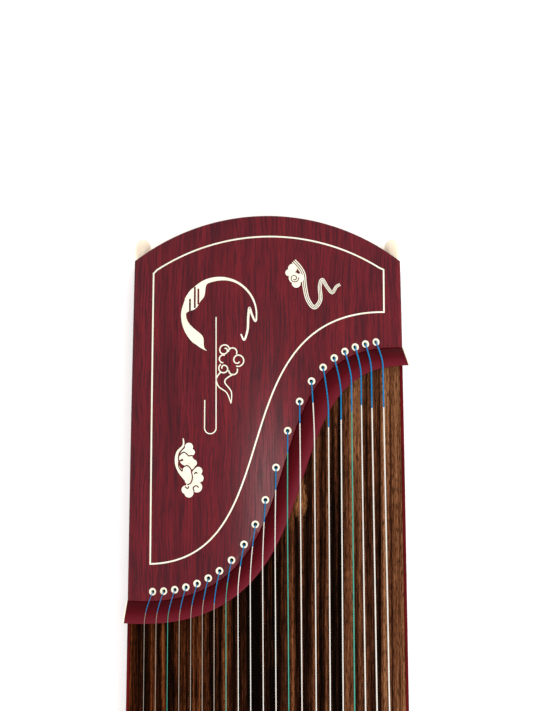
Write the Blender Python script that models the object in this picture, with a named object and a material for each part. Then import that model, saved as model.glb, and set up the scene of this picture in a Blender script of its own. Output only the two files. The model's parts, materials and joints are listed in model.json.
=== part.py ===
"""A 21-string guzheng, lying on its feet: metres, +Z up.

+X points to the head, where the tuning pins are, and -X to the tail. The player sits at -Y, beside the
thinnest string. The origin is on the floor, below the middle of the instrument.
"""

import math

import bmesh
import bpy
from mathutils import Matrix, Vector

MM = 0.001

# Driving dimensions
LENGTH = 1.630
TAIL_END = -LENGTH / 2
HEAD_END = LENGTH / 2
TAIL_HALF_WIDTH = 151 * MM
HEAD_HALF_WIDTH = 176.5 * MM
STRINGS = 21
GAP = 0.3 * MM  # between solids that touch on the real instrument
STRING_GAP = 0.6 * MM  # between a string's lowest line and the bridge it bends over
SEAT_GAP = 0.6 * MM  # under the arched boards, whose facets differ from their neighbours'

# Soundbox
ARCH_RISE = 40 * MM  # of every top board, from its side edges to its crown
CROWN_AT_ENDS = 118 * MM
CROWN_BOW = 5 * MM  # how far the crown line rises towards the middle
BOW_HALF_LENGTH = 0.700
TAIL_DROP = 30 * MM  # how far the crown line falls at the tail
TAIL_DROP_FROM = -0.500
BOARD = 9 * MM  # thickness of the soundboard, head board and lid
TAIL_STEP = 3 * MM  # how far the tail board stands above the soundboard
SIDE = 17 * MM  # thickness of a side board
SIDE_LIP = 3.5 * MM  # the part of its top edge that shows beside the soundboard
SIDE_BOTTOM = 20 * MM
BACK_BOTTOM = 24 * MM
BACK_TOP = 32.5 * MM
INSIDE_FLOOR = 33.5 * MM

# Tail
TAIL_ARC = 256 * MM
TIP_NOSE = -0.7935
TIP_JOINT = -0.763
TIP_WIDTH = 16.7 * MM
TIP_CAP = 12.5 * MM  # length of the tip's rounded end
TIP_HALF = 9.2 * MM  # half its width where the rounding starts
FOOT_END = -0.700
FOOT_FADE = -0.630
# S-shaped lines across the instrument, as two end points and two Bezier handles: (x, y)
S_EDGE = ((-0.380, -0.1578), (-0.368, 0.084), (-0.671, -0.044), (-0.666, 0.1533))
CREST = ((-0.355, -0.1600), (-0.346, 0.098), (-0.641, -0.012), (-0.646, 0.1545))
HOLES = ((-0.391, -0.1290), (-0.398, 0.055), (-0.648, -0.032), (-0.672, 0.1227))
S_GAP = 1.5 * MM  # along X, between the tail board and what follows it
REAR_BRIDGE_FOOT = 1.5 * MM
REAR_BRIDGE_CREST = 11.5 * MM
REAR_BRIDGE_SWELL = 0.35  # how far its slope bulges: 0 is straight
REAR_BRIDGE_OVERHANG = 1.5 * MM
STRING_HOLE = 2.6 * MM
ANCHOR_DEPTH = 8 * MM  # of the string ends under the tail board
ANCHOR_ROD = 2 * MM

# Strings
THIN_STRING = 0.4 * MM  # radius of string 1
THICK_STRING = 1.0 * MM
CREST_SPAN = (-138 * MM, 130 * MM)  # y of strings 1 and 21 over the rear bridge
# where the strings bunch, in the tail board and over the rear bridge: middle string, spread in strings, shift
HOLE_BUNCHES = ((16.5, 5, 2.7 * MM), (9.5, 2.5, 2.4 * MM))
CREST_BUNCHES = ((16.8, 3.5, 5.8 * MM), (8.5, 7, -2 * MM))
NUT_SPAN = (-145 * MM, 145 * MM)  # and over the front bridge

# Movable bridges
NEAREST_BRIDGE = 135 * MM  # from the front bridge to bridge 1
FURTHEST_BRIDGE = 835 * MM
LOW_BRIDGE = 44 * MM
HIGH_BRIDGE = 52 * MM
THIN_BRIDGE = 8.5 * MM  # foot thickness of bridge 1
THICK_BRIDGE = 12 * MM
BRIDGE_TOP_THICKNESS = 2.8 * MM

# Head
FRONT_BRIDGE_X = 0.608
FRONT_BRIDGE_HEIGHT = 14.5 * MM
SOUNDBOARD_END = 0.625
HEAD_HOLES_X = 0.640
HEAD_BOARD_END = 0.660
LID_START = 0.6605
LID_END = 0.7885
LID_HALF_WIDTH = 169.8 * MM
LID_UNDERCUT = 4 * MM  # lets the lid's free edge swing up past the head board
HINGE_X = 0.791
HINGE_RISE = 1.5 * MM
END_PANEL_START = 0.7935
PIN_BLOCK = (0.664, 0.775)
PIN_BLOCK_TOP = 54 * MM
PIN_ROWS = (0.688, 0.716, 0.744)
PIN_RADIUS = 3.4 * MM
PIN_BOTTOM = 38.5 * MM
PIN_NECK = 70 * MM
PIN_TOP = 76 * MM
WRAP_TOP = 66 * MM

COLOURS = {
    # name: (red, green, blue), roughness, metallic
    "soundboard wood": ((0.13, 0.055, 0.025), 0.45, 0.0),
    "burgundy veneer": ((0.17, 0.025, 0.035), 0.35, 0.0),
    "red lacquer": ((0.21, 0.008, 0.014), 0.25, 0.0),
    "paulownia": ((0.55, 0.38, 0.22), 0.60, 0.0),
    "bridge wood": ((0.10, 0.025, 0.015), 0.35, 0.0),
    "bone": ((0.90, 0.80, 0.62), 0.40, 0.0),
    "string": ((0.80, 0.78, 0.74), 0.40, 0.0),
    "steel": ((0.60, 0.60, 0.62), 0.25, 1.0),
    "brass": ((0.72, 0.50, 0.18), 0.28, 1.0),
}


# ---------------------------------------------------------------- the instrument's lines


def mix(a, b, share):
    return a + (b - a) * share


def half_width(x):
    return mix(TAIL_HALF_WIDTH, HEAD_HALF_WIDTH, (x - TAIL_END) / LENGTH)


def crown(x):
    """Height of the top boards' middle line."""
    fall = max(0.0, TAIL_DROP_FROM - x) / (TAIL_DROP_FROM - TAIL_END)
    return CROWN_AT_ENDS + CROWN_BOW * (1 - (x / BOW_HALF_LENGTH) ** 2) - TAIL_DROP * fall**2


def arch_radius(x):
    return (half_width(x) ** 2 + ARCH_RISE**2) / (2 * ARCH_RISE)


def top(x, y):
    """Height of the soundboard's upper surface, carried on over the whole instrument."""
    radius = arch_radius(x)
    return crown(x) - radius + math.sqrt(radius**2 - y**2)


def under(x, y):
    return top(x, y) - BOARD


def bezier(line, t):
    (ax, ay), (bx, by), (cx, cy), (dx, dy) = line
    weights = ((1 - t) ** 3, 3 * (1 - t) ** 2 * t, 3 * (1 - t) * t**2, t**3)
    x = sum(w * v for w, v in zip(weights, (ax, bx, cx, dx)))
    y = sum(w * v for w, v in zip(weights, (ay, by, cy, dy)))
    return x, y


def share_at(line, y):
    """Where along an S-shaped line it crosses y."""
    low, high = 0.0, 1.0
    for _ in range(40):
        middle = (low + high) / 2
        if bezier(line, middle)[1] < y:
            low = middle
        else:
            high = middle
    return (low + high) / 2


def spread(count):
    """Shares from 0 to 1, closer together at both ends."""
    even = [k / count for k in range(count + 1)]
    return [0.5 * s + 0.25 * (1 - math.cos(math.pi * s)) for s in even]


def tail_arc(y):
    return TAIL_END + TAIL_ARC - math.sqrt(TAIL_ARC**2 - y**2)


def string_share(number):
    return (number - 1) / (STRINGS - 1)


def string_radius(number):
    return mix(THIN_STRING, THICK_STRING, string_share(number))


def bunched(number, bunches):
    """How far a string is shifted off its even place."""
    shares = [(min(1, abs(number - middle) / spread), shift) for middle, spread, shift in bunches]
    return sum(shift * math.cos(math.pi / 2 * share) ** 2 for share, shift in shares)


def string_hole(number):
    """(x, y) of a string's hole in the tail board. The holes are spaced nearly evenly across it."""
    y = mix(HOLES[0][1], HOLES[3][1], string_share(number)) + bunched(number, HOLE_BUNCHES)
    return bezier(HOLES, share_at(HOLES, y))[0], y


def nut_y(number):
    return mix(*NUT_SPAN, string_share(number))


def crest_point(number):
    y = mix(*CREST_SPAN, string_share(number)) + bunched(number, CREST_BUNCHES)
    return bezier(CREST, share_at(CREST, y))[0] - 2 * MM, y


def bridge_x(number):
    reach = NEAREST_BRIDGE * (FURTHEST_BRIDGE / NEAREST_BRIDGE) ** string_share(number)
    return FRONT_BRIDGE_X - reach


def bridge_height(number):
    return mix(LOW_BRIDGE, HIGH_BRIDGE, string_share(number))


def bridge_place(number):
    """(x, y of the feet, y of the string, height of the string) of a movable bridge, which stands
    square to the arch under a string that runs straight in plan."""
    x = bridge_x(number)
    crest_x, crest_y = crest_point(number)
    string_y = mix(crest_y, nut_y(number), (x - crest_x) / (FRONT_BRIDGE_X - crest_x))
    radius = arch_radius(x)
    reach = radius + bridge_height(number) + STRING_GAP + string_radius(number)
    string_z = crown(x) - radius + math.sqrt(reach**2 - string_y**2)
    return x, string_y * radius / reach, string_y, string_z


def pin_place(number):
    """(x, y) of a tuning pin: three staggered rows, each pin tangent to its string."""
    x = PIN_ROWS[number % len(PIN_ROWS)]
    return x, nut_y(number) + wrap_radius(number)


def wrap_radius(number):
    return PIN_RADIUS + GAP + string_radius(number)


# ---------------------------------------------------------------- making solids


def clear_scene():
    for old in list(bpy.data.objects):
        bpy.data.objects.remove(old)


def make_material(name):
    colour, roughness, metallic = COLOURS[name]
    made = bpy.data.materials.get(name) or bpy.data.materials.new(name)
    made.use_nodes = True
    shader = made.node_tree.nodes["Principled BSDF"]
    shader.inputs["Base Color"].default_value = (*colour, 1.0)
    shader.inputs["Roughness"].default_value = roughness
    shader.inputs["Metallic"].default_value = metallic
    made.diffuse_color = (*colour, 1.0)
    return made


def collection(name):
    found = bpy.data.collections.get(name)
    if found is None:
        found = bpy.data.collections.new(name)
        bpy.context.scene.collection.children.link(found)
    return found


def add_object(name, data, material, group="guzheng"):
    made = bpy.data.objects.new(name, data)
    if not data.materials:
        data.materials.append(make_material(material))
    collection(group).objects.link(made)
    if group != "guzheng":
        made.hide_render = True
        made.display_type = "WIRE"
    return made


def add_mesh(name, shape, material, group="guzheng"):
    """A new object from a bmesh, with its normals pointing out."""
    bmesh.ops.recalc_face_normals(shape, faces=shape.faces)
    mesh = bpy.data.meshes.new(name)
    shape.to_mesh(mesh)
    shape.free()
    return add_object(name, mesh, material, group)


def loft(name, rings, material, group="guzheng"):
    """A closed solid through rings of equally many points, capped at both ends."""
    shape = bmesh.new()
    loops = [[shape.verts.new(point) for point in ring] for ring in rings]
    for here, there in zip(loops, loops[1:]):
        for k in range(len(here)):
            after = (k + 1) % len(here)
            shape.faces.new((here[k], here[after], there[after], there[k]))
    shape.faces.new(loops[0])
    shape.faces.new(loops[-1])
    return add_mesh(name, shape, material, group)


def box(name, low, high, material, group="guzheng"):
    shape = bmesh.new()
    size = Vector(high) - Vector(low)
    place = Matrix.Translation((Vector(low) + Vector(high)) / 2) @ Matrix.Diagonal((*size, 1))
    bmesh.ops.create_cube(shape, size=1, matrix=place)
    return add_mesh(name, shape, material, group)


def add_cylinder(shape, centre, radius, length, sides, turn=None, stretch=(1, 1, 1)):
    """Adds a capped cylinder along Z, or along what turn makes of Z."""
    place = Matrix.Translation(centre) @ (turn or Matrix()) @ Matrix.Diagonal((*stretch, 1))
    bmesh.ops.create_cone(
        shape,
        cap_ends=True,
        segments=sides,
        radius1=radius,
        radius2=radius,
        depth=length,
        matrix=place,
    )


def boolean(solid, other, operation):
    """Cuts or joins one object with another, or with each object of a collection."""
    step = solid.modifiers.new(operation.lower(), "BOOLEAN")
    step.operation = operation
    step.solver = "EXACT"
    if isinstance(other, bpy.types.Collection):
        step.operand_type = "COLLECTION"
        step.collection = other
    else:
        step.object = other


def baked(solid):
    """The object's mesh with its modifiers applied, welded, in world space."""
    graph = bpy.context.evaluated_depsgraph_get()
    mesh = bpy.data.meshes.new_from_object(solid.evaluated_get(graph))
    mesh.transform(solid.matrix_world)
    shape = bmesh.new()
    shape.from_mesh(mesh)
    bmesh.ops.remove_doubles(shape, verts=shape.verts, dist=0.01 * MM)
    shape.to_mesh(mesh)
    shape.free()
    return mesh


def board_ring(points, height, thickness):
    """One lengthwise slice of an arched board: its upper line and, behind it, its lower line."""
    upper = [(x, y, height(x, y)) for x, y in points]
    lower = [(x, y, z - thickness) for x, y, z in upper]
    return upper + lower[::-1]


# ---------------------------------------------------------------- boards


def s_columns(inset, columns=28):
    """Points of the tail board's S-shaped edge, from the near side to the far side. inset moves only
    the two end points in from the sides."""
    near = share_at(S_EDGE, -half_width(S_EDGE[0][0]) + inset) if inset else 0.0
    far = share_at(S_EDGE, half_width(S_EDGE[3][0]) - inset) if inset else 1.0
    shares = [t for t in spread(columns) if near < t < far]
    return [bezier(S_EDGE, t) for t in (near, *shares, far)]


def make_tail_board():
    rings = []
    for edge_x, edge_y in s_columns(0):
        across = edge_y / half_width(edge_x)
        arc_x = tail_arc(across * TAIL_HALF_WIDTH)
        line = [mix(arc_x, edge_x, v / 10) for v in range(11)]
        points = [(x, across * half_width(x)) for x in line]
        rings.append(board_ring(points, lambda x, y: top(x, y) + TAIL_STEP, BOARD + TAIL_STEP))
    board = loft("tail_board", rings, "burgundy veneer")
    drill = bmesh.new()
    for number in range(1, STRINGS + 1):
        x, y = string_hole(number)
        add_cylinder(drill, (x, y, top(x, y)), STRING_HOLE, 60 * MM, 8)
    boolean(board, add_mesh("tail_drill", drill, "steel", "cutters"), "DIFFERENCE")


def make_soundboard():
    rows = (0, 0.05, 0.12, 0.25, 0.5, 0.75, 1)
    rings = []
    for edge_x, edge_y in s_columns(SIDE_LIP + GAP):
        across = edge_y / (half_width(edge_x) - SIDE_LIP - GAP)
        line = [mix(edge_x + S_GAP, SOUNDBOARD_END, v) for v in rows]
        points = [(x, across * (half_width(x) - SIDE_LIP - GAP)) for x in line]
        rings.append(board_ring(points, top, BOARD))
    loft("soundboard", rings, "soundboard wood")


def make_head_board():
    start = SOUNDBOARD_END + GAP
    rings = []
    for across in [k / 10 - 1 for k in range(21)]:
        line = [mix(start, HEAD_BOARD_END, v / 2) for v in range(3)]
        points = [(x, across * (half_width(x) - SIDE_LIP - GAP)) for x in line]
        rings.append(board_ring(points, top, BOARD))
    board = loft("head_board", rings, "burgundy veneer")
    drill = bmesh.new()
    for number in range(1, STRINGS + 1):
        y = nut_y(number)
        add_cylinder(drill, (HEAD_HOLES_X, y, top(HEAD_HOLES_X, y)), STRING_HOLE, 40 * MM, 8)
    boolean(board, add_mesh("head_drill", drill, "steel", "cutters"), "DIFFERENCE")


def make_lid():
    rings = []
    for across in [k / 10 - 1 for k in range(21)]:
        line = [mix(LID_START, LID_END, v / 3) for v in range(4)]
        ring = board_ring([(x, across * LID_HALF_WIDTH) for x in line], top, BOARD)
        x, y, z = ring[-1]
        ring[-1] = (x + LID_UNDERCUT, y, z)
        rings.append(ring)
    loft("head_lid", rings, "burgundy veneer")


def side_bottom(x):
    """The lower edge of a side board: a foot at the tail, then a clear line to the head."""
    share = min(1.0, max(0.0, (x - FOOT_END) / (FOOT_FADE - FOOT_END)))
    return SIDE_BOTTOM * share * share * (3 - 2 * share)


def side_ring(x, side, with_lip):
    """A side board's section: side is -1 at the player and 1 at the far side."""
    outer = half_width(x)
    lip, inner = outer - SIDE_LIP, outer - SIDE
    ledge = under(x, lip) - SEAT_GAP
    lip_top = top(x, outer) - 0.5 * MM if with_lip else ledge
    outer_top = lip_top if with_lip else under(x, outer) - SEAT_GAP
    section = (
        (outer, side_bottom(x)),
        (outer, outer_top),
        (lip, lip_top),
        (lip, ledge - (0 if with_lip else 0.5 * MM)),
        (inner, under(x, inner) - SEAT_GAP - 0.5 * MM),
        (inner, side_bottom(x)),
    )
    return [(x, side * y, z) for y, z in section]


def make_side_board(name, side, lip_from):
    tail_part = [mix(TIP_JOINT + GAP, lip_from, k / 12) for k in range(13)]
    head_part = [mix(lip_from + 0.5 * MM, END_PANEL_START - GAP, k / 12) for k in range(13)]
    rings = [side_ring(x, side, False) for x in tail_part]
    rings += [side_ring(x, side, True) for x in head_part]
    loft(name, rings, "red lacquer")


def make_foot_tip(name, side):
    """A rounded bone nose on the tail end of a side board, swelling a little beyond its outer face."""
    height = under(TIP_NOSE, half_width(TIP_NOSE)) - SEAT_GAP
    middle = half_width(TIP_NOSE) - TIP_WIDTH / 2
    stages = [(TIP_JOINT, TIP_WIDTH / 2, 1.0)]
    for angle in (0, 25, 45, 62, 76, 85):
        turn = math.radians(angle)
        stages.append((TIP_NOSE + TIP_CAP * (1 - math.sin(turn)), TIP_HALF * math.cos(turn), math.cos(turn) ** 0.7))
    rings = []
    for x, half, shrink in stages:
        centre = middle + (TIP_HALF - TIP_WIDTH / 2 if x < TIP_JOINT else 0)
        low, high = height / 2 * (1 - shrink), height / 2 * (1 + shrink)
        cut = 3 * MM * min(shrink, half / TIP_HALF)
        section = (
            (centre + half, low + cut),
            (centre + half, high - cut),
            (centre + half - cut, high),
            (centre - half + cut, high),
            (centre - half, high - cut),
            (centre - half, low + cut),
            (centre - half + cut, low),
            (centre + half - cut, low),
        )
        rings.append([(x, side * y, z) for y, z in section])
    loft(name, rings, "bone")


def make_tail_block():
    """The curved end wall under the tail board."""
    inset, thickness = 12 * MM, 20 * MM
    reach = TAIL_HALF_WIDTH - SIDE - GAP
    rings = []
    for y in [reach * (k / 8 - 1) for k in range(17)]:
        outer = tail_arc(y) + inset
        inner = outer + thickness
        rings.append(
            (
                (outer, y, INSIDE_FLOOR),
                (outer, y, under(outer, y) - SEAT_GAP),
                (inner, y, under(inner, y) - SEAT_GAP),
                (inner, y, INSIDE_FLOOR),
            )
        )
    loft("tail_block", rings, "paulownia")


def make_back_board():
    inset = 12 * MM
    rings = []
    for across in [k / 8 - 1 for k in range(17)]:
        tail_x = tail_arc(across * (TAIL_HALF_WIDTH - SIDE)) + inset
        head_x = END_PANEL_START - GAP
        ring = []
        for z in (BACK_BOTTOM, BACK_TOP):
            pair = [(x, across * (half_width(x) - SIDE - GAP), z) for x in (tail_x, head_x)]
            ring += pair if z == BACK_BOTTOM else pair[::-1]
        rings.append(ring)
    board = loft("back_board", rings, "paulownia")
    holes = bmesh.new()
    for x, half_length, half_across in ((-0.60, 0.060, 0.045), (-0.06, 0.075, 0.028), (0.42, 0.045, 0.028)):
        stretch = (half_length, half_across, 1)
        add_cylinder(holes, (x, 0, BACK_TOP), 1, 40 * MM, 28, stretch=stretch)
    boolean(board, add_mesh("sound_holes", holes, "paulownia", "cutters"), "DIFFERENCE")


def rib_ring(x, openings):
    """A cross rib's outline at x: arched above, with an air passage on each side of its middle foot."""
    reach = half_width(x) - SIDE - 0.5 * MM
    arch = [reach * (k / 8 - 1) for k in range(17)]
    outline = [(y, under(x, y) - SEAT_GAP) for y in arch]
    low, passage = INSIDE_FLOOR, INSIDE_FLOOR + 26 * MM
    if openings:
        outer, inner, slope = reach - 30 * MM, 22 * MM, 14 * MM
        for side in (1, -1):
            arc = [(outer, low), (outer - slope, passage), (inner + slope, passage), (inner, low)]
            if side == 1:
                outline += [(reach, low), *arc]
            else:
                outline += [(-y, z) for y, z in arc[::-1]]
        outline.append((-reach, low))
    else:
        outline += [(reach, low), (-reach, low)]
    return [(x, y, z) for y, z in outline]


def make_inner_braces():
    """Two arched ribs and the wall under the front bridge, on one spine along the back board."""
    spine_end = FRONT_BRIDGE_X
    low = (-0.300, -10 * MM, INSIDE_FLOOR + 0.5 * MM)
    spine = box("inner_braces", low, (spine_end, 10 * MM, INSIDE_FLOOR + 15 * MM), "paulownia")
    for name, x, openings in (("rib_tail", -0.28, True), ("rib_head", 0.16, True), ("wall", 0.60, False)):
        rings = [rib_ring(x, openings), rib_ring(x + 14 * MM, openings)]
        loft(name, rings, "paulownia", "ribs")
    boolean(spine, collection("ribs"), "UNION")


def make_end_panel():
    """The panel that closes the head, with a foot at each side."""
    foot, arch_top = 55 * MM, 22 * MM
    rings = []
    for x in (END_PANEL_START, HEAD_END):
        reach = HEAD_HALF_WIDTH
        outline = [(reach * (k / 10 - 1)) for k in range(21)]
        outline = [(y, crown(x) - ARCH_RISE * (y / reach) ** 2) for y in outline]
        outline += [(reach, 0), (reach - foot, 0), (reach - foot - 15 * MM, arch_top)]
        outline += [(-reach + foot + 15 * MM, arch_top), (-reach + foot, 0), (-reach, 0)]
        rings.append([(x, y, z) for y, z in outline])
    loft("head_end_panel", rings, "red lacquer")


def make_pin_block():
    reach = half_width(PIN_BLOCK[0]) - SIDE - GAP
    low, high = (PIN_BLOCK[0], -reach, INSIDE_FLOOR), (PIN_BLOCK[1], reach, PIN_BLOCK_TOP)
    block = box("pin_block", low, high, "bridge wood")
    drill = bmesh.new()
    depth = PIN_BLOCK_TOP - (PIN_BOTTOM - GAP)
    for number in range(1, STRINGS + 1):
        middle = (*pin_place(number), PIN_BLOCK_TOP)
        add_cylinder(drill, middle, PIN_RADIUS + 0.5 * MM, 2 * depth, 10)
    boolean(block, add_mesh("pin_drill", drill, "steel", "cutters"), "DIFFERENCE")


# ---------------------------------------------------------------- bridges


def make_rear_bridge():
    """The fixed S-shaped bridge: it rises from the tail board's edge to a crest for the strings."""
    steps = (0, 0.25, 0.5, 0.75, 0.93)
    rings = []
    for share in spread(34):
        foot_x, foot_y = bezier(S_EDGE, share)
        crest_x, crest_y = bezier(CREST, share)
        foot_x += S_GAP
        if share in (0.0, 1.0):
            crest_y = math.copysign(half_width(crest_x) + REAR_BRIDGE_OVERHANG, crest_y)
        upper = []
        for s in steps:
            x, y = mix(foot_x, crest_x, s), mix(foot_y, crest_y, s)
            swell = mix(s, math.sin(s * math.pi / 2), REAR_BRIDGE_SWELL)
            upper.append((x, y, top(x, y) + mix(REAR_BRIDGE_FOOT, REAR_BRIDGE_CREST, swell)))
        face = (crest_x, crest_y)
        upper.append((*face, top(*face) + REAR_BRIDGE_CREST - 1.5 * MM))
        lower = [(x, y, top(x, y) + GAP) for x, y in (face, (foot_x, foot_y))]
        rings.append(upper + lower)
    loft("rear_bridge", rings, "burgundy veneer")


def make_front_bridge():
    profile = ((-6, 0.3), (-6, 10), (-3, 14.2), (0.5, 14.2), (8.5, 5), (8.5, 0.3))
    reach = half_width(FRONT_BRIDGE_X) - SIDE_LIP - 1 * MM
    rings = []
    for y in [reach * (k / 12 - 1) for k in range(25)]:
        places = [(FRONT_BRIDGE_X + dx * MM, up * MM) for dx, up in profile]
        rings.append([(x, y, top(x, y) + up) for x, up in places])
    loft("front_bridge", rings, "bridge wood")


def bridge_outline(height, half_span):
    """The A shape of a movable bridge, across the strings: (across, up), from the left foot round."""
    neck, shoulder = 2.6 * MM, 6.5 * MM
    right = [
        (half_span - 8 * MM, 0),
        (half_span, 0),
        (half_span - 1.5 * MM, 5 * MM),
        (0.55 * half_span, 0.36 * height),
        (shoulder, 0.66 * height),
        (neck + 1 * MM, 0.86 * height),
        (neck, height),
    ]
    crotch = [(0.30 * half_span, 0.30 * height), (0, 0.42 * height), (-0.30 * half_span, 0.30 * height)]
    left = [(-y, z) for y, z in right[::-1]]
    return right + left + crotch[::-1]


def make_bridge(number):
    x, foot_y, _, _ = bridge_place(number)
    height = bridge_height(number)
    radius = arch_radius(x)
    foot_thickness = mix(THIN_BRIDGE, THICK_BRIDGE, string_share(number))
    half_span = mix(17 * MM, 22 * MM, string_share(number))
    rings = []
    for end in (-1, 1):
        ring = []
        for across, up in bridge_outline(height, half_span):
            thickness = mix(foot_thickness, BRIDGE_TOP_THICKNESS, up / height)
            lift = GAP - across**2 / (2 * radius) if up == 0 else 0
            ring.append((end * thickness / 2, across, up + lift))
        rings.append(ring)
    bridge = loft(f"bridge_{number:02d}", rings, "bridge wood")
    bridge.location = (x, foot_y, top(x, foot_y))
    bridge.rotation_euler = (-math.asin(foot_y / radius), 0, 0)


# ---------------------------------------------------------------- head fittings


def make_tuning_pins():
    """A round shank with a square head for the key. All pins share one mesh."""
    shape = bmesh.new()
    add_cylinder(shape, (0, 0, (PIN_BOTTOM + PIN_NECK) / 2), PIN_RADIUS, PIN_NECK - PIN_BOTTOM, 10)
    shank = add_mesh("pin_shank", shape, "steel", "pin pieces")
    head = 2.4 * MM
    low = (-head, -head, PIN_NECK - 2 * MM)
    boolean(shank, box("pin_head", low, (head, head, PIN_TOP), "steel", "pin pieces"), "UNION")
    mesh = baked(shank)
    for number in range(1, STRINGS + 1):
        pin = add_object(f"tuning_pin_{number:02d}", mesh, "steel")
        pin.location = (*pin_place(number), 0)


def along_y():
    return Matrix.Rotation(math.pi / 2, 4, "X")


def make_hinge_leaf(name, knuckles, leaf_from, leaf_to, bore):
    """Half of the lid's hinge: a flat leaf with its knuckles. The fixed half carries the pin."""
    half_length, barrel, pin = 35 * MM, 2.2 * MM, 0.8 * MM
    axis_z = crown(HINGE_X) + HINGE_RISE
    leaf_low, leaf_high = crown(HINGE_X) + 0.6 * MM, crown(HINGE_X) + 1.8 * MM
    low, high = (leaf_from, -half_length, leaf_low), (leaf_to, half_length, leaf_high)
    leaf = box(name, low, high, "brass")
    group = f"{name} pieces"
    for k, (start, end) in enumerate(knuckles):
        knuckle = bmesh.new()
        middle = (HINGE_X, (start + end) / 2, axis_z)
        add_cylinder(knuckle, middle, barrel, end - start, 12, along_y())
        add_mesh(f"{name}_knuckle_{k}", knuckle, "brass", group)
        tab_x = sorted((HINGE_X, leaf_from if leaf_from > HINGE_X else leaf_to))
        tab_low = (tab_x[0] - 1 * MM * (leaf_from < HINGE_X), start, leaf_low)
        tab_high = (tab_x[1] + 1 * MM * (leaf_from > HINGE_X), end, leaf_high)
        box(f"{name}_tab_{k}", tab_low, tab_high, "brass", group)
    if not bore:
        rod = bmesh.new()
        add_cylinder(rod, (HINGE_X, 0, axis_z), pin, 2 * half_length - 2 * MM, 8, along_y())
        add_mesh(f"{name}_pin", rod, "brass", group)
    step = leaf.modifiers.new("join", "BOOLEAN")
    step.operation, step.solver, step.use_self = "UNION", "EXACT", True
    step.operand_type, step.collection = "COLLECTION", collection(group)
    if bore:
        drill = bmesh.new()
        add_cylinder(drill, (HINGE_X, 0, axis_z), pin + 0.4 * MM, 3 * half_length, 10, along_y())
        boolean(leaf, add_mesh(f"{name}_bore", drill, "brass", "cutters"), "DIFFERENCE")


def make_lid_hinge():
    fixed = [(start * MM, end * MM) for start, end in ((-35, -21), (-7, 7), (21, 35))]
    moving = [(start * MM, end * MM) for start, end in ((-20.6, -7.4), (7.4, 20.6))]
    clear = 3 * MM
    make_hinge_leaf("lid_hinge_fixed_leaf", fixed, HINGE_X + clear, 0.809, False)
    make_hinge_leaf("lid_hinge_moving_leaf", moving, 0.773, HINGE_X - clear, True)


# ---------------------------------------------------------------- strings


def string_route(number):
    """A string from its anchored end under the tail board to the coil on its tuning pin."""
    radius = string_radius(number)
    hole_x, hole_y = string_hole(number)
    crest_x, crest_y = crest_point(number)
    bridge_at, _, bridge_y, bridge_z = bridge_place(number)
    nut_z = top(FRONT_BRIDGE_X, nut_y(number)) + FRONT_BRIDGE_HEIGHT + STRING_GAP + radius
    pin_x, pin_y = pin_place(number)
    around = wrap_radius(number)
    y = nut_y(number)
    route = [
        (hole_x, hole_y, under(hole_x, hole_y) - ANCHOR_DEPTH),
        (hole_x, hole_y, top(hole_x, hole_y) + TAIL_STEP + 1 * MM),
        (crest_x, crest_y, top(crest_x, crest_y) + REAR_BRIDGE_CREST + STRING_GAP + radius),
        (bridge_at, bridge_y, bridge_z),
        (FRONT_BRIDGE_X, y, nut_z),
        (HEAD_HOLES_X, y, top(HEAD_HOLES_X, y) + radius),
        (HEAD_HOLES_X, y, under(HEAD_HOLES_X, y) - 3 * MM),
    ]
    turns, steps = 1.2, 10
    for k in range(int(turns * steps) + 1):
        angle = 2 * math.pi * k / steps - math.pi / 2
        sink = (2 * radius + 0.4 * MM) * k / steps
        place = (pin_x + around * math.cos(angle), pin_y + around * math.sin(angle), WRAP_TOP - sink)
        route.append(place)
    return route


def tube(name, points, radius, resolution, group):
    """A solid tube as a mesh object, from a curve with a round bevel and filled caps."""
    curve = bpy.data.curves.new(name, "CURVE")
    curve.dimensions = "3D"
    curve.bevel_depth = radius
    curve.bevel_resolution = resolution
    curve.use_fill_caps = True
    spline = curve.splines.new("POLY")
    spline.points.add(len(points) - 1)
    for point, place in zip(spline.points, points):
        point.co = (*place, 1.0)
    guide = bpy.data.objects.new(name, curve)
    bpy.context.scene.collection.objects.link(guide)
    mesh = baked(guide)
    bpy.data.objects.remove(guide)
    return add_object(name, mesh, "string", group)


def make_strings():
    """All the strings, joined by the rod that anchors their ends under the tail board."""
    ends = [string_route(number)[0] for number in range(1, STRINGS + 1)]
    first, last = Vector(ends[0]), Vector(ends[-1])
    ends.insert(0, first + (first - Vector(ends[1])).normalized() * 3 * MM)
    ends.append(last + (last - Vector(ends[-2])).normalized() * 3 * MM)
    strings = tube("strings", ends, ANCHOR_ROD, 2, "guzheng")
    for number in range(1, STRINGS + 1):
        name = f"string_{number:02d}"
        tube(name, string_route(number), string_radius(number), 1, "string pieces")
    boolean(strings, collection("string pieces"), "UNION")


def main():
    clear_scene()
    make_tail_board()
    make_soundboard()
    make_head_board()
    make_lid()
    make_side_board("near_side_board", -1, S_EDGE[0][0] + 3 * MM)
    make_side_board("far_side_board", 1, S_EDGE[3][0] + 3 * MM)
    make_foot_tip("near_foot_tip", -1)
    make_foot_tip("far_foot_tip", 1)
    make_tail_block()
    make_back_board()
    make_inner_braces()
    make_end_panel()
    make_pin_block()
    make_rear_bridge()
    make_front_bridge()
    for number in range(1, STRINGS + 1):
        make_bridge(number)
    make_tuning_pins()
    make_lid_hinge()
    make_strings()


main()
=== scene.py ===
"""The visual layer of a 21-string guzheng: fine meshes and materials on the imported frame, in metres.

+X points to the head, +Y to the far side and +Z up, as in the frame. The player sits at -Y.
"""

import json
from math import asin, atan2, ceil, copysign, cos, degrees, hypot, pi, radians, sin, sqrt
from operator import mul

import bmesh
import bpy
from mathutils import Matrix, Vector


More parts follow.
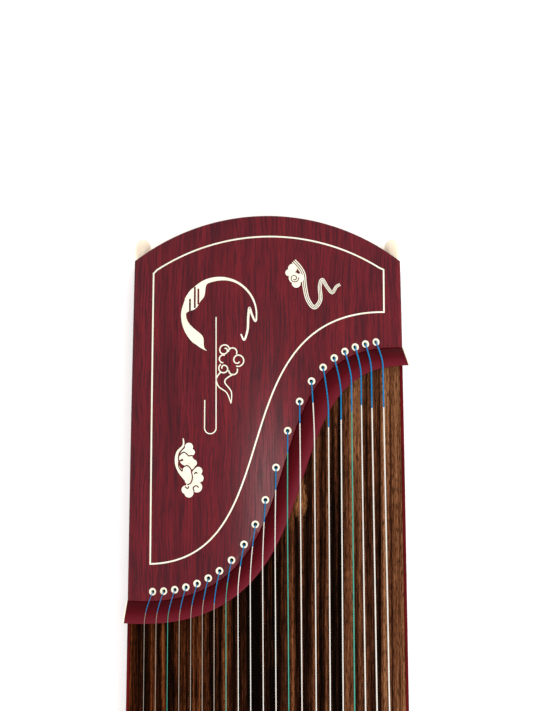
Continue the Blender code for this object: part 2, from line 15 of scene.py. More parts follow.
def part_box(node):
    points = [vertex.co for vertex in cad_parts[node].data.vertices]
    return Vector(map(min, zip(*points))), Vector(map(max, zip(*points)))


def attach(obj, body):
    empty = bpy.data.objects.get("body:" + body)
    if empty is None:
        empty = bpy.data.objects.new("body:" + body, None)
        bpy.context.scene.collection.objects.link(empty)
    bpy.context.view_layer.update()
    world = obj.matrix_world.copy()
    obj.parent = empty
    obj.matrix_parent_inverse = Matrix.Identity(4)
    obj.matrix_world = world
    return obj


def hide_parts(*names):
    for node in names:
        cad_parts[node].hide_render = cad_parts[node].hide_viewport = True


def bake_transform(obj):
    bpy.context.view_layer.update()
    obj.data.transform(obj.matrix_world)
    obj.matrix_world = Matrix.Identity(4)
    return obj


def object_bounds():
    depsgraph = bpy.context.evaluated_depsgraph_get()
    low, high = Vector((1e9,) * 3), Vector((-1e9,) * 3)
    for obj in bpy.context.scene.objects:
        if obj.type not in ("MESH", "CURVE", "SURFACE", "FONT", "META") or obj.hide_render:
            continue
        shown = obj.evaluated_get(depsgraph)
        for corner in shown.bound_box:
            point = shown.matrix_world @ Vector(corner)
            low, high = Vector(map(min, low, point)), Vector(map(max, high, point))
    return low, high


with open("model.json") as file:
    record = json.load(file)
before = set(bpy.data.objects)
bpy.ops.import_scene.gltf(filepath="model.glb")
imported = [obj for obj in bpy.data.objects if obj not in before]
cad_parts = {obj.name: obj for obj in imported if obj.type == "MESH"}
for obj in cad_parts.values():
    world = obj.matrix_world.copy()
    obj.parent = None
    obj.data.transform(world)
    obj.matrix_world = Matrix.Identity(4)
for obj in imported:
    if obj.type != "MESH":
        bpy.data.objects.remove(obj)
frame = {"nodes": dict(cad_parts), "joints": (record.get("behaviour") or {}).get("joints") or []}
CAD_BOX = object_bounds()

MM = 0.001

# ---- sizes shared with the frame

TAIL_END = CAD_BOX[0][0]
HEAD_END = CAD_BOX[1][0]
LENGTH = HEAD_END - TAIL_END
TAIL_HALF_WIDTH = 151 * MM
HEAD_HALF_WIDTH = CAD_BOX[1][1]
STRINGS = 21
ARCH_RISE = 40 * MM
CROWN_AT_ENDS = 118 * MM
CROWN_BOW = 5 * MM
BOW_HALF_LENGTH = 0.700
TAIL_DROP = 30 * MM
TAIL_DROP_FROM = -0.500
BOARD = 9 * MM
TAIL_STEP = 3 * MM
SIDE = 17 * MM
SIDE_LIP = 3.5 * MM
SIDE_BOTTOM = 20 * MM
TAIL_ARC = 256 * MM
TIP_NOSE = -0.7935
TIP_CAP = 12.5 * MM
TIP_JOINT = -0.763
FOOT_END = -0.700
FOOT_FADE = -0.630
# S-shaped lines across the instrument: end points and Bezier handles, (x, y)
S_EDGE = ((-0.380, -0.1578), (-0.368, 0.084), (-0.671, -0.044), (-0.666, 0.1533))
CREST = ((-0.355, -0.1600), (-0.346, 0.098), (-0.641, -0.012), (-0.646, 0.1545))
HOLES = ((-0.391, -0.1290), (-0.398, 0.055), (-0.648, -0.032), (-0.672, 0.1227))
INLAY = ((-0.422, -0.1318), (-0.429, 0.0316), (-0.703, -0.0606), (-0.7064, 0.1322))
S_GAP = 1.5 * MM
REAR_BRIDGE_FOOT = 1.5 * MM
REAR_BRIDGE_CREST = 11.5 * MM
CREST_SPAN = (-138 * MM, 130 * MM)
# where the strings bunch, in the tail board and over the rear bridge:
# middle string, spread in strings, shift
HOLE_BUNCHES = ((16.5, 5, 2.7 * MM), (9.5, 2.5, 2.4 * MM))
CREST_BUNCHES = ((16.8, 3.5, 5.8 * MM), (8.5, 7, -2 * MM))
NUT_SPAN = (-145 * MM, 145 * MM)
NEAREST_BRIDGE = 135 * MM
FURTHEST_BRIDGE = 835 * MM
LOW_BRIDGE = 44 * MM
HIGH_BRIDGE = 52 * MM
THIN_BRIDGE = 8.5 * MM
THICK_BRIDGE = 12 * MM
BRIDGE_TOP_THICKNESS = 2.8 * MM
FRONT_BRIDGE_X = 0.608
FRONT_BRIDGE_HEIGHT = 14.5 * MM
SOUNDBOARD_END = 0.625
HEAD_HOLES_X = 0.640
HEAD_BOARD_END = 0.660
LID_START = 0.6605
LID_END = 0.7885
LID_HALF_WIDTH = 169.8 * MM
END_PANEL_START = 0.7935
PIN_RADIUS = 3.4 * MM
WRAP_TOP = 66 * MM
THIN_STRING = 0.3 * MM
THICK_STRING = 0.82 * MM
GAP = 0.3 * MM

# ---- sizes of the visual details

SOFT = 1.2 * MM  # rounding of the boards' edges
INLAY_LIFT = 0.12 * MM  # of the inlay over the board
DARK_LIFT = 2.2 * INLAY_LIFT  # of the dark lines over the inlay
INLAY_WIDTH = 1.75 * MM
STROKE = 1.4 * MM
FERRULE_RADIUS = 4.3 * MM
FERRULE_HOLE = 2 * MM
LEAN = 0.8 * MM  # of a string towards the bridge inside its hole
HEAD_HOLE = 2.4 * MM
WINDINGS = 4  # of a string round its tuning pin
GREEN_STRINGS = (3, 8, 13, 18)
LAST_THIN_STRING = 7
PATCH_PLACE = (-0.494, 0.037, 0)  # of the figured wood beside the rear bridge
PATCH_SIZE = (0.050, 0.015, 1)
SHORT_SILK = 28 * MM  # length of the blue wrap on a string's tail end
FIRST_LONG_SILK = 16
LONG_SILKS = (72 * MM, 75 * MM, 74 * MM, 71 * MM, 78 * MM, 80 * MM)  # the same from that string on
SILK_COVER = 0.08 * MM
NEAR_OVERHANG = 3.5 * MM  # of the rear bridge's crest beyond the side boards
FAR_OVERHANG = 6 * MM
OVERHANG_SHARE = 0.08  # of the bridge's length, at each end
TUCK = 0.2 * MM  # of the rear bridge's foot under the tail board's edge
TIP_NECK = 0.93  # width of a foot tip at its joint, as a share of the widest
TIP_DOME = 0.62  # how the tip's height falls towards the nose, against its width
TIP_SQUARE = 0.6  # roundness of the tip's section: 1 is an ellipse, 0 a rectangle
PANEL_FOOT = 55 * MM  # width of the head end panel's feet
PANEL_SLOPE = 15 * MM
PANEL_ARCH = 22 * MM
LEAF_TOP = 1.8 * MM  # of the hinge leaves over the crown
SCREW_STEP = 27 * MM


# ---- the instrument's lines


def mix(a, b, share):
    return a + (b - a) * share


def spaced(start, end, count):
    """Evenly spaced values from start to end, both included."""
    return [mix(start, end, k / count) for k in range(count + 1)]


def polar(radius, angle):
    return radius * cos(angle), radius * sin(angle)


def circle(count):
    return [2 * pi * k / count for k in range(count)]


def half_width(x):
    return mix(TAIL_HALF_WIDTH, HEAD_HALF_WIDTH, (x - TAIL_END) / LENGTH)


def crown(x):
    fall = max(0.0, TAIL_DROP_FROM - x) / (TAIL_DROP_FROM - TAIL_END)
    return CROWN_AT_ENDS + CROWN_BOW * (1 - (x / BOW_HALF_LENGTH) ** 2) - TAIL_DROP * fall**2


def arch_radius(x):
    return (half_width(x) ** 2 + ARCH_RISE**2) / (2 * ARCH_RISE)


def top(x, y):
    """Height of the soundboard's upper surface, carried on over the whole instrument."""
    radius = arch_radius(x)
    return crown(x) - radius + sqrt(radius**2 - y**2)


def above(x, y, lift=0.0):
    return x, y, top(x, y) + lift


def tail_top(x, y):
    return top(x, y) + TAIL_STEP


def bezier(line, t):
    weights = ((1 - t) ** 3, 3 * (1 - t) ** 2 * t, 3 * (1 - t) * t**2, t**3)
    return tuple(sum(map(mul, weights, axis)) for axis in zip(*line))


def share_at(line, y):
    low, high = 0.0, 1.0
    for _ in range(40):
        middle = (low + high) / 2
        if bezier(line, middle)[1] < y:
            low = middle
        else:
            high = middle
    return (low + high) / 2


def line_x(line, y):
    """x of an S-shaped line at y, carried on straight past its ends."""
    return bezier(line, share_at(line, y))[0]


def tail_arc(y):
    return TAIL_END + TAIL_ARC - sqrt(TAIL_ARC**2 - y**2)


def on_tail(x, y, lift):
    return x, y, tail_top(x, y) + lift


NUMBERS = range(1, STRINGS + 1)


def string_share(number):
    return (number - 1) / (STRINGS - 1)


def string_radius(number):
    return mix(THIN_STRING, THICK_STRING, string_share(number))


def bunched(number, bunches):
    """How far a string is shifted off its even place."""
    shares = [(min(1, abs(number - middle) / spread), shift) for middle, spread, shift in bunches]
    return sum(shift * cos(pi / 2 * share) ** 2 for share, shift in shares)


def string_hole(number):
    y = mix(HOLES[0][1], HOLES[3][1], string_share(number)) + bunched(number, HOLE_BUNCHES)
    return line_x(HOLES, y), y


def nut_y(number):
    return mix(*NUT_SPAN, string_share(number))


def crest_point(number):
    y = mix(*CREST_SPAN, string_share(number)) + bunched(number, CREST_BUNCHES)
    return line_x(CREST, y) - 2 * MM, y


def bridge_height(number):
    return mix(LOW_BRIDGE, HIGH_BRIDGE, string_share(number))


def bridge_place(number):
    """(x, y of the feet, y of the string, height of the string) of a movable bridge."""
    reach = NEAREST_BRIDGE * (FURTHEST_BRIDGE / NEAREST_BRIDGE) ** string_share(number)
    x = FRONT_BRIDGE_X - reach
    crest_x, crest_y = crest_point(number)
    string_y = mix(crest_y, nut_y(number), (x - crest_x) / (FRONT_BRIDGE_X - crest_x))
    radius = arch_radius(x)
    reach = radius + bridge_height(number) + 2 * GAP + string_radius(number)
    string_z = crown(x) - radius + sqrt(reach**2 - string_y**2)
    return x, string_y * radius / reach, string_y, string_z


def pin_place(number):
    """The pin's axis, from its joint in the frame."""
    name = f"tuning_pin_{number:02d}_turn"
    return next(joint["pos_m"] for joint in frame["joints"] if joint["name"] == name)


# ---- materials


def linear(colour):
    """Linear red, green and blue from a tuple of display values in 0..255. A list is linear."""
    if isinstance(colour, tuple):
        parts = [v / 255 for v in colour]
        return [v / 12.92 if v <= 0.04045 else ((v + 0.055) / 1.055) ** 2.4 for v in parts]
    return [colour] * 3 if isinstance(colour, (int, float)) else colour


class Shader:
    """Builds one procedural material, node by node."""

    def __init__(self, name, roughness, metallic=0.0, specular=0.5):
        self.material = bpy.data.materials.new(name)
        self.material.use_nodes = True
        self.tree = self.material.node_tree
        self.surface = self.tree.nodes["Principled BSDF"]
        values = {"Roughness": roughness, "Metallic": metallic, "Specular IOR Level": specular}
        self.socket(values)

    def socket(self, values):
        """Sets or links sockets of the surface shader by name."""
        for name, value in values.items():
            self.feed(self.surface.inputs[name], value)

    def add(self, kind, output=0, **values):
        """Adds a node. A value is for an input, by its name or number (in_0...), or an attribute."""
        node = self.tree.nodes.new(f"ShaderNode{kind}")
        for key, value in values.items():
            if key.startswith("in_"):
                self.feed(node.inputs[int(key[3:])], value)
            elif key.title() in node.inputs:
                self.feed(node.inputs[key.title()], value)
            else:
                setattr(node, key, value)
        return node.outputs[output]

    def feed(self, socket, value):
        if isinstance(value, bpy.types.NodeSocket):
            self.tree.links.new(value, socket)
        elif isinstance(value, (list, tuple)):
            value = linear(value)
            socket.default_value = (*value, 1.0) if len(socket.default_value) == 4 else value
        else:
            socket.default_value = value

    def place(self, stretch, bend=None):
        """Object coordinates, bent sideways by a slow noise (how far, its scale), then stretched."""
        point = self.add("TexCoord", 3)
        if bend:
            slow = self.add("TexNoise", vector=point, scale=bend[1], detail=2.0)
            slow = self.math("SUBTRACT", slow, 0.5)
            shift = self.add("CombineXYZ", in_1=self.math("MULTIPLY", slow, bend[0]))
            point = self.vector("ADD", point, shift)
        return self.vector("MULTIPLY", point, stretch)

    def vector(self, operation, a, b):
        b = list(b) if isinstance(b, tuple) else b
        return self.add("VectorMath", operation=operation, in_0=a, in_1=b)

    def math(self, operation, a, b):
        return self.add("Math", operation=operation, in_0=a, in_1=b)

    def noise(self, stretch, detail=3.0, roughness=0.55, bend=None):
        values = {"scale": 1.0, "detail": detail, "roughness": roughness}
        return self.add("TexNoise", vector=self.place(stretch, bend), **values)

    def ramp(self, value, *stops):
        """A colour ramp through (position, colour) stops. A colour is a number or three."""
        node = self.tree.nodes.new("ShaderNodeValToRGB")
        marks = node.color_ramp.elements
        while len(marks) < len(stops):
            marks.new(0.5)
        for mark, (position, colour) in zip(marks, stops):
            mark.position = position
            mark.color = (*linear(colour), 1.0)
        self.feed(node.inputs[0], value)
        return node.outputs[0]

    def blend(self, share, a, b, how="MIX"):
        node = self.tree.nodes.new("ShaderNodeMix")
        node.data_type, node.blend_type = "RGBA", how
        for socket, value in zip((node.inputs[0], node.inputs[6], node.inputs[7]), (share, a, b)):
            self.feed(socket, value)
        return node.outputs[2]

    def finish(self, colour, bump=None, depth=0.1 * MM, strength=0.5, roughness=None):
        self.socket({"Base Color": colour})
        if roughness is not None:
            self.socket({"Roughness": roughness})
        if bump is not None:
            normal = self.add("Bump", strength=strength, distance=depth, height=bump)
            self.socket({"Normal": normal})
        return self.material


def veneer_material():
    """Burgundy rosewood veneer: long wavy dark pores over a broad red figure."""
    look = Shader("burgundy_veneer", 0.30, specular=0.2)
    streaks = look.noise((18, 560, 0), bend=(0.010, 14))
    broad = look.noise((4, 75, 0), 2.0, bend=(0.016, 5))
    pores = look.noise((70, 1500, 0), 1.0, bend=(0.005, 24))
    figure = look.ramp(broad, (0.32, (84, 12, 23)), (0.68, (113, 22, 32)))
    dark = look.ramp(streaks, (0.42, 1.0), (0.51, 0.0))
    colour = look.blend(look.math("MULTIPLY", dark, 0.7), figure, (52, 8, 22))
    colour = look.blend(look.ramp(pores, (0.32, 0.6), (0.46, 0.0)), colour, (46, 6, 18))
    gloss = look.ramp(streaks, (0.35, 0.32), (0.60, 0.24))
    return look.finish(colour, look.math("ADD", streaks, pores), 0.04 * MM, 0.25, gloss)


def zebra_material():
    """Scorched soundboard: dark and brown stripes along the board, full of fine dark pores."""
    look = Shader("zebra_soundboard", 0.6, specular=0.01)
    across = look.add("SeparateXYZ", 1, in_0=look.place((1, 3.0, 1)))
    across = look.math("ADD", across, 0.5)
    # broad bands from the near edge (0) to the far edge (1): place, brightness. They are the wood's
    # own bands plus painted shade that darkens the near side.
    bands_with_painted_shade = ((0.03, 0.43), (0.40, 0.39), (0.46, 0.30), (0.51, 0.30), (0.56, 0.47))
    bands_with_painted_shade += ((0.62, 0.46), (0.67, 0.41), (0.85, 0.51), (0.96, 0.62))
    tone = look.ramp(across, *bands_with_painted_shade)
    layers = (
        # weight, noise
        (0.75, look.noise((0.8, 70, 0), 1.0, 0.7, bend=(0.004, 5))),
        (0.8, look.noise((1.6, 240, 0), 2.0, 0.6, bend=(0.003, 7))),
        (0.7, look.noise((26, 800, 0), 3.0, 0.7, bend=(0.002, 12))),
    )
    # a little lighter towards the tail
    lengthwise = look.add("SeparateXYZ", in_0=look.place((4, 1, 1)))
    lighter = look.ramp(look.math("ADD", lengthwise, 2.6), (0.15, 0.10), (0.85, 0.0))
    tone = look.math("ADD", tone, lighter)
    for weight, layer in layers:
        layer = look.math("MULTIPLY", look.math("SUBTRACT", layer, 0.5), weight)
        tone = look.math("ADD", tone, layer)
    browns = ((0.26, (3, 1, 0)), (0.37, (30, 13, 6)), (0.47, (62, 31, 16)), (0.58, (98, 57, 34)))
    colour = look.ramp(tone, *browns, (0.78, (146, 98, 64)))
    # warmer towards the near edge
    tint = look.ramp(across, (0.05, [1.0, 0.74, 0.45]), (0.55, [1.0, 0.90, 0.80]), (0.90, 1.0))
    colour = look.blend(1.0, colour, tint, "MULTIPLY")
    # a lighter figured patch beside the middle of the rear bridge
    apart = look.vector("SUBTRACT", look.place((1, 1, 0)), PATCH_PLACE)
    apart = look.vector("DIVIDE", apart, PATCH_SIZE)
    apart = look.add("VectorMath", 1, operation="LENGTH", in_0=apart)
    swirl = look.noise((70, 420, 0), 4.0, 0.7, bend=(0.03, 30))
    patch = look.ramp(look.math("ADD", apart, swirl), (0.9, 0.9), (1.5, 0.0))
    light = look.ramp(swirl, (0.35, (62, 30, 14)), (0.6, (160, 104, 62)))
    colour = look.blend(patch, colour, light)
    pores = look.noise((110, 1500, 0), 2.0)
    colour = look.blend(look.ramp(pores, (0.40, 0.8), (0.50, 0.0)), colour, (10, 3, 1))
    return look.finish(colour, look.math("ADD", layers[2][1], pores), 0.08 * MM, 0.5)


def lacquer_material():
    """Red lacquer with a faint grain and an unevenly worn polish."""
    look = Shader("crimson_lacquer", 0.35, specular=0.08)
    grain = look.noise((14, 300, 300), 4.0, bend=(0.006, 7))
    wear = look.noise((25, 25, 25), 5.0)
    colour = look.ramp(grain, (0.30, (72, 2, 6)), (0.70, (104, 5, 10)))
    gloss = look.ramp(wear, (0.35, 0.30), (0.70, 0.42))
    return look.finish(colour, grain, 0.04 * MM, 0.2, gloss)


def painted_shade_lacquer_material():
    """The rear bridge's burgundy lacquer with painted shade: dark on the slope, lighter along the
    crest.
    """
    look = Shader("burgundy_lacquer_painted_shade", 0.38, specular=0.06)
    rise = look.add("Attribute", 2, attribute_name="rise")
    grain = look.noise((60, 60, 60), 5.0, bend=(0.006, 7))
    uneven = look.math("MULTIPLY", look.math("SUBTRACT", grain, 0.5), 0.06)
    # painted shade: the reds darken towards the foot and lighten along the crest
    painted_shade_reds = ((0.20, (64, 1, 7)), (0.50, (80, 4, 14)), (0.68, (92, 16, 27)), (0.95, (102, 24, 36)))
    colour = look.ramp(look.math("ADD", rise, uneven), *painted_shade_reds)
    return look.finish(colour, grain, 0.03 * MM, 0.2)


def wood_material(name, surface, grain, colours, pores, dark_pores, bump):
    """Plain wood: coloured rings and fine dark pores."""
    look = Shader(name, surface[0], specular=surface[1])
    rings = look.noise(*grain[:2], bend=grain[2])
    pores = look.noise(pores, 2.0)
    shares, shade = dark_pores
    colour = look.blend(look.ramp(pores, *shares), look.ramp(rings, *colours), shade)
    return look.finish(colour, look.math("ADD", rings, pores), *bump)


def bone_material(name="bone", light=(246, 243, 224), deep=(238, 230, 206)):
    look = Shader(name, 0.32, specular=0.4)
    cloud = look.noise((60, 60, 60))
    fibres = look.noise((120, 1400, 1400), 2.0)
    colour = look.ramp(cloud, (0.30, deep), (0.65, light))
    look.socket({"Subsurface Weight": 0.08, "Subsurface Scale": 2 * MM})
    return look.finish(colour, fibres, 0.03 * MM, 0.2)


def thread_material(name, light, deep, pitch):
    """A wound string or twisted silk: fine turns along its length."""
    look = Shader(name, 0.45, specular=0.15)
    values = {"scale": 1 / (pitch * 2 * pi) * 0.32, "distortion": 0.4, "detail": 1.0}
    wave = look.add("TexWave", 1, vector=look.place((1, 0.35, 0.35)), **values)
    uneven = look.noise((90, 90, 90))
    colour = look.blend(look.math("MULTIPLY", wave, 0.35), light, deep)
    colour = look.blend(look.ramp(uneven, (0.40, 0.0), (0.75, 0.35)), colour, deep)
    return look.finish(colour, wave, 0.06 * MM, 0.6)


def metal_material(name, light, deep, roughness):
    look = Shader(name, roughness, metallic=1.0)
    brushed = look.noise((2400, 90, 2400), 2.0)
    stain = look.noise((45, 45, 45))
    colour = look.ramp(stain, (0.35, deep), (0.65, light))
    gloss = look.ramp(brushed, (0.30, roughness - 0.06), (0.70, roughness + 0.10))
    return look.finish(colour, brushed, 0.02 * MM, 0.3, gloss)


def hollow_material():
    """Painted shadow for the dark inside of a string hole."""
    look = Shader("hole_shadow", 0.9, specular=0.1)
    shadow_mottle = look.noise((400, 400, 400))
    return look.finish(look.ramp(shadow_mottle, (0.3, (6, 4, 4)), (0.8, (20, 14, 14))), shadow_mottle)


def floor_material():
    look = Shader("pale_floor", 0.9, specular=0.0)
    tint = look.noise((1.5, 1.5, 1.5), 2.0)
    look.socket({"Emission Color": [1, 1, 1], "Emission Strength": 0.30})
    return look.finish(look.ramp(tint, (0.2, 0.93), (0.8, 0.95)))


VENEER = veneer_material()
ZEBRA = zebra_material()
LACQUER = lacquer_material()
BRIDGE_LACQUER_PAINTED_SHADE = painted_shade_lacquer_material()
PAULOWNIA = wood_material(
    "paulownia",
    surface=(0.65, 0.25),
    grain=((2.5, 130, 130), 3.0, (0.03, 4)),
    colours=((0.35, (150, 108, 66)), (0.50, (196, 156, 108)), (0.62, (214, 178, 130))),
    pores=(60, 1200, 1200),
    dark_pores=(((0.30, 0.6), (0.45, 0.0)), (120, 80, 46)),
    bump=(0.15 * MM, 0.5),
)
ROSEWOOD = wood_material(
    "bridge_rosewood",
    surface=(0.36, 0.45),
    grain=((60, 500, 90), 4.0, (0.01, 30)),
    colours=((0.32, (38, 14, 10)), (0.66, (96, 40, 26))),
    pores=(1500, 1500, 120),
    dark_pores=(((0.32, 0.7), (0.45, 0.0)), (24, 8, 6)),
    bump=(0.08 * MM, 0.4),
)
BONE = bone_material()
TIP_BONE = bone_material("warm_bone", (255, 240, 217), (255, 232, 204))
WHITE_STRING = thread_material("white_string", (232, 227, 218), (188, 180, 170), 0.5 * MM)
# painted shade: a darker copy of the white string for the thin near strings
THIN_WHITE_PAINTED_SHADE = thread_material("thin_string_painted_shade", (166, 152, 138), (116, 104, 94), 0.5 * MM)
GREEN_STRING = thread_material("green_string", (70, 166, 144), (36, 104, 88), 0.5 * MM)
BLUE_SILK = thread_material("blue_silk", (0, 128, 184), (0, 84, 138), 0.7 * MM)
NICKEL = metal_material("nickel", (206, 204, 200), (160, 158, 156), 0.22)
BRASS = metal_material("brass", (214, 176, 96), (190, 150, 76), 0.30)
SHADOW = hollow_material()


# ---- meshes


def finish(piece, material, replaces=(), body="soundbox"):
    """Gives a piece its material and body, and hides the CAD nodes it stands for."""
    piece.data.materials.clear()
    piece.data.materials.append(material)
    if body:
        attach(piece, body)
    if replaces:
        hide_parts(*replaces)


def add_object(name, data):
    added = bpy.data.objects.new(name, data)
    bpy.context.scene.collection.objects.link(added)
    return added


def make_mesh(name, shape, sharp=35):
    """A smooth-shaded object from a bmesh, with its normals pointing out."""
    bmesh.ops.recalc_face_normals(shape, faces=shape.faces)
    mesh = bpy.data.meshes.new(name)
    shape.to_mesh(mesh)
    shape.free()
    mesh.shade_smooth()
    mesh.set_sharp_from_angle(angle=radians(sharp))
    return add_object(name, mesh)


def loft(name, rings, sharp=35, closed=False):
    """A solid through rings of equally many points, capped at both ends unless closed on itself."""
    shape = bmesh.new()
    loops = [[shape.verts.new(point) for point in ring] for ring in rings]
    pairs = list(zip(loops, loops[1:]))
    if closed:
        pairs.append((loops[-1], loops[0]))
    for here, there in pairs:
        for k in range(len(here)):
            after = (k + 1) % len(here)
            shape.faces.new((here[k], here[after], there[after], there[k]))
    if not closed:
        shape.faces.new(loops[0])
        shape.faces.new(loops[-1])
    return make_mesh(name, shape, sharp)


def softened(distance, radius=SOFT):
    """How far a rounded edge has dropped at this distance in from it."""
    inside = max(0.0, radius - max(0.0, distance))
    return radius - sqrt(radius**2 - inside**2)


def stations(start, end, count, soft=SOFT):
    """Places from start to end, evenly spaced, with extra ones across each rounded edge."""
    edge = [0, 0.12 * soft, 0.4 * soft, soft]
    middle = spaced(start + soft, end - soft, count)[1:-1]
    return [start + e for e in edge] + middle + [end - e for e in reversed(edge)]


def slab(upper):
    """One slice of a board: its upper line and, behind it, the underside."""
    return upper + [above(x, y, -BOARD) for x, y, _ in reversed(upper)]


def mirrored(right):
    """An outline of (across, up) points, carried on with its mirror image."""
    return right + [(-y, z) for y, z in reversed(right)]


def tube(name, points, radius, sides=10, sharp=60):
    """A round solid along a line of points."""
    points = [Vector(p) for p in points]
    rings = []
    across = None
    for k, point in enumerate(points):
        ahead = (points[min(k + 1, len(points) - 1)] - points[max(k - 1, 0)]).normalized()
        across = (across or Vector((0, 0, 1)).cross(ahead) or Vector((0, 1, 0))).copy()
        if across.length < 1e-6:
            across = Vector((0, 1, 0))
        across = (across - ahead * across.dot(ahead)).normalized()
        up = ahead.cross(across)
        size = radius(k) if callable(radius) else radius
        rings.append([point + size * (cos(a) * across + sin(a) * up) for a in circle(sides)])
    return loft(name, rings, sharp)


def turned(name, profile, centre, sides=24, normal=(0, 0, 1), sharp=30):
    """A solid of revolution. profile is (radius, height) from the outside round to the inside."""
    turn = Vector((0, 0, 1)).rotation_difference(Vector(normal)).to_matrix()
    rings = []
    for angle in circle(sides):
        ring = [Vector((*polar(r, angle), h)) for r, h in profile]
        rings.append([Vector(centre) + turn @ point for point in ring])
    return loft(name, rings, sharp, closed=True)


def apply_boolean(piece, cutter):
    step = piece.modifiers.new("cut", "BOOLEAN")
    step.operation, step.solver, step.object = "DIFFERENCE", "EXACT", cutter
    bpy.context.view_layer.update()
    graph = bpy.context.evaluated_depsgraph_get()
    mesh = bpy.data.meshes.new_from_object(piece.evaluated_get(graph))
    piece.modifiers.clear()
    piece.data = mesh
    mesh.set_sharp_from_angle(angle=radians(35))
    bpy.data.objects.remove(cutter)
    return piece


# ---- boards


def drill_through(piece, places, radius, depth):
    shape = bmesh.new()
    for x, y, z in places:
        sizes = {"segments": 16, "radius1": radius, "radius2": radius, "depth": depth}
        bmesh.ops.create_cone(shape, cap_ends=True, matrix=Matrix.Translation((x, y, z)), **sizes)
    return apply_boolean(piece, make_mesh("drill", shape))


def edge_reach(across):
    """Half the width at the S line's place for a share across, from -1 to 1."""
    return mix(half_width(S_EDGE[0][0]), half_width(S_EDGE[3][0]), (across + 1) / 2)


def make_tail_board():
    rings = []
    reach = half_width(S_EDGE[0][0])
    for across in [v / reach for v in stations(-reach, reach, 76)]:
        start, end = tail_arc(across * TAIL_HALF_WIDTH), line_x(S_EDGE, across * edge_reach(across))
        upper = []
        for x in stations(start, end, 36):
            y = across * half_width(x)
            drop = softened(min(x - start, end - x, (1 - abs(across)) * half_width(x)))
            upper.append((x, y, tail_top(x, y) - drop))
        rings.append(slab(upper))
    board = loft("tail_board_veneer", rings)
    holes = [above(*string_hole(number)) for number in NUMBERS]
    drill_through(board, holes, FERRULE_RADIUS - 1 * MM, 40 * MM)
    finish(board, VENEER, ["tail_board"])


def make_soundboard():
    rings = []
    for across in stations(-1.0, 1.0, 64, 0.01):
        start = line_x(S_EDGE, across * (edge_reach(across) - SIDE_LIP - GAP)) + S_GAP
        upper = []
        for x in stations(start, SOUNDBOARD_END, 48):
            upper.append(above(x, across * (half_width(x) - SIDE_LIP - GAP)))
        rings.append(slab(upper))
    finish(loft("soundboard_zebra", rings), ZEBRA, ["soundboard"])


def arched_board(name, start, end, reach_at, count):
    """A head board or lid: arched across, with rounded edges."""
    rings = []
    for across in stations(-1, 1, 48, SOFT / HEAD_HALF_WIDTH):
        upper = []
        for x in stations(start, end, count):
            drop = softened(min(x - start, end - x, (1 - abs(across)) * reach_at(x)))
            upper.append(above(x, across * reach_at(x), -drop))
        rings.append(slab(upper))
    return loft(name, rings)


def make_head_boards():
    start, between = SOUNDBOARD_END + GAP, lambda x: half_width(x) - SIDE_LIP - GAP
    board = arched_board("head_board_veneer", start, HEAD_BOARD_END, between, 6)
    holes = [above(HEAD_HOLES_X, nut_y(number)) for number in NUMBERS]
    drill_through(board, holes, HEAD_HOLE, 30 * MM)
    finish(board, VENEER, ["head_board"])
    lid = arched_board("head_lid_veneer", LID_START, LID_END, lambda x: LID_HALF_WIDTH, 16)
    # the lid's front edge leans back underneath, as in the frame
    lean = LID_START + 4 * MM
    for vertex in lid.data.vertices:
        x, y, z = vertex.co
        if x < lean and z < top(x, y) - BOARD + 0.1 * MM:
            vertex.co.x = lean
    finish(lid, VENEER, ["head_lid"], "lid")


def side_bottom(x):
    share = min(1.0, max(0.0, (x - FOOT_END) / (FOOT_FADE - FOOT_END)))
    return SIDE_BOTTOM * share * share * (3 - 2 * share)


def side_ring(x, side, with_lip):
    """A side board's section with rounded outer corners."""
    outer = half_width(x)
    lip, inner = outer - SIDE_LIP, outer - SIDE
    ledge = top(x, lip) - BOARD - 0.6 * MM
    lip_top = top(x, outer) if with_lip else ledge
    low = side_bottom(x)
    arc = [(SOFT * (1 - sin(radians(a))), SOFT * (1 - cos(radians(a)))) for a in (90, 60, 30, 0)]
    outer_top = lip_top if with_lip else top(x, outer) - BOARD - 0.6 * MM
    section = [(outer - dy, low + dz) for dy, dz in reversed(arc)]
    section += [(outer - dy, outer_top - dz) for dy, dz in arc]
    section += [
        (lip + 0.3 * MM, lip_top + (0.4 * MM if with_lip else 0)),
        (lip, lip_top - (0 if with_lip else 0.1 * MM)),
        (lip, ledge - (0 if with_lip else 0.5 * MM)),
        (inner, top(x, inner) - BOARD - 1.1 * MM),
        (inner, low),
    ]
    return [(x, side * y, z) for y, z in section]


def make_side_boards():
    """Both sides. Their lip beside the soundboard starts just after the tail board."""
    for name, side, edge in (("near", -1, S_EDGE[0]), ("far", 1, S_EDGE[3])):
        name = f"{name}_side_board"
        lip_from = edge[0] + 3 * MM
        rings = [side_ring(x, side, False) for x in spaced(TIP_JOINT + GAP, lip_from, 30)]
        after = spaced(lip_from + 0.5 * MM, END_PANEL_START - GAP, 40)
        rings += [side_ring(x, side, True) for x in after]
        board = loft(f"{name}_lacquer", rings)
        finish(board, LACQUER, [name])


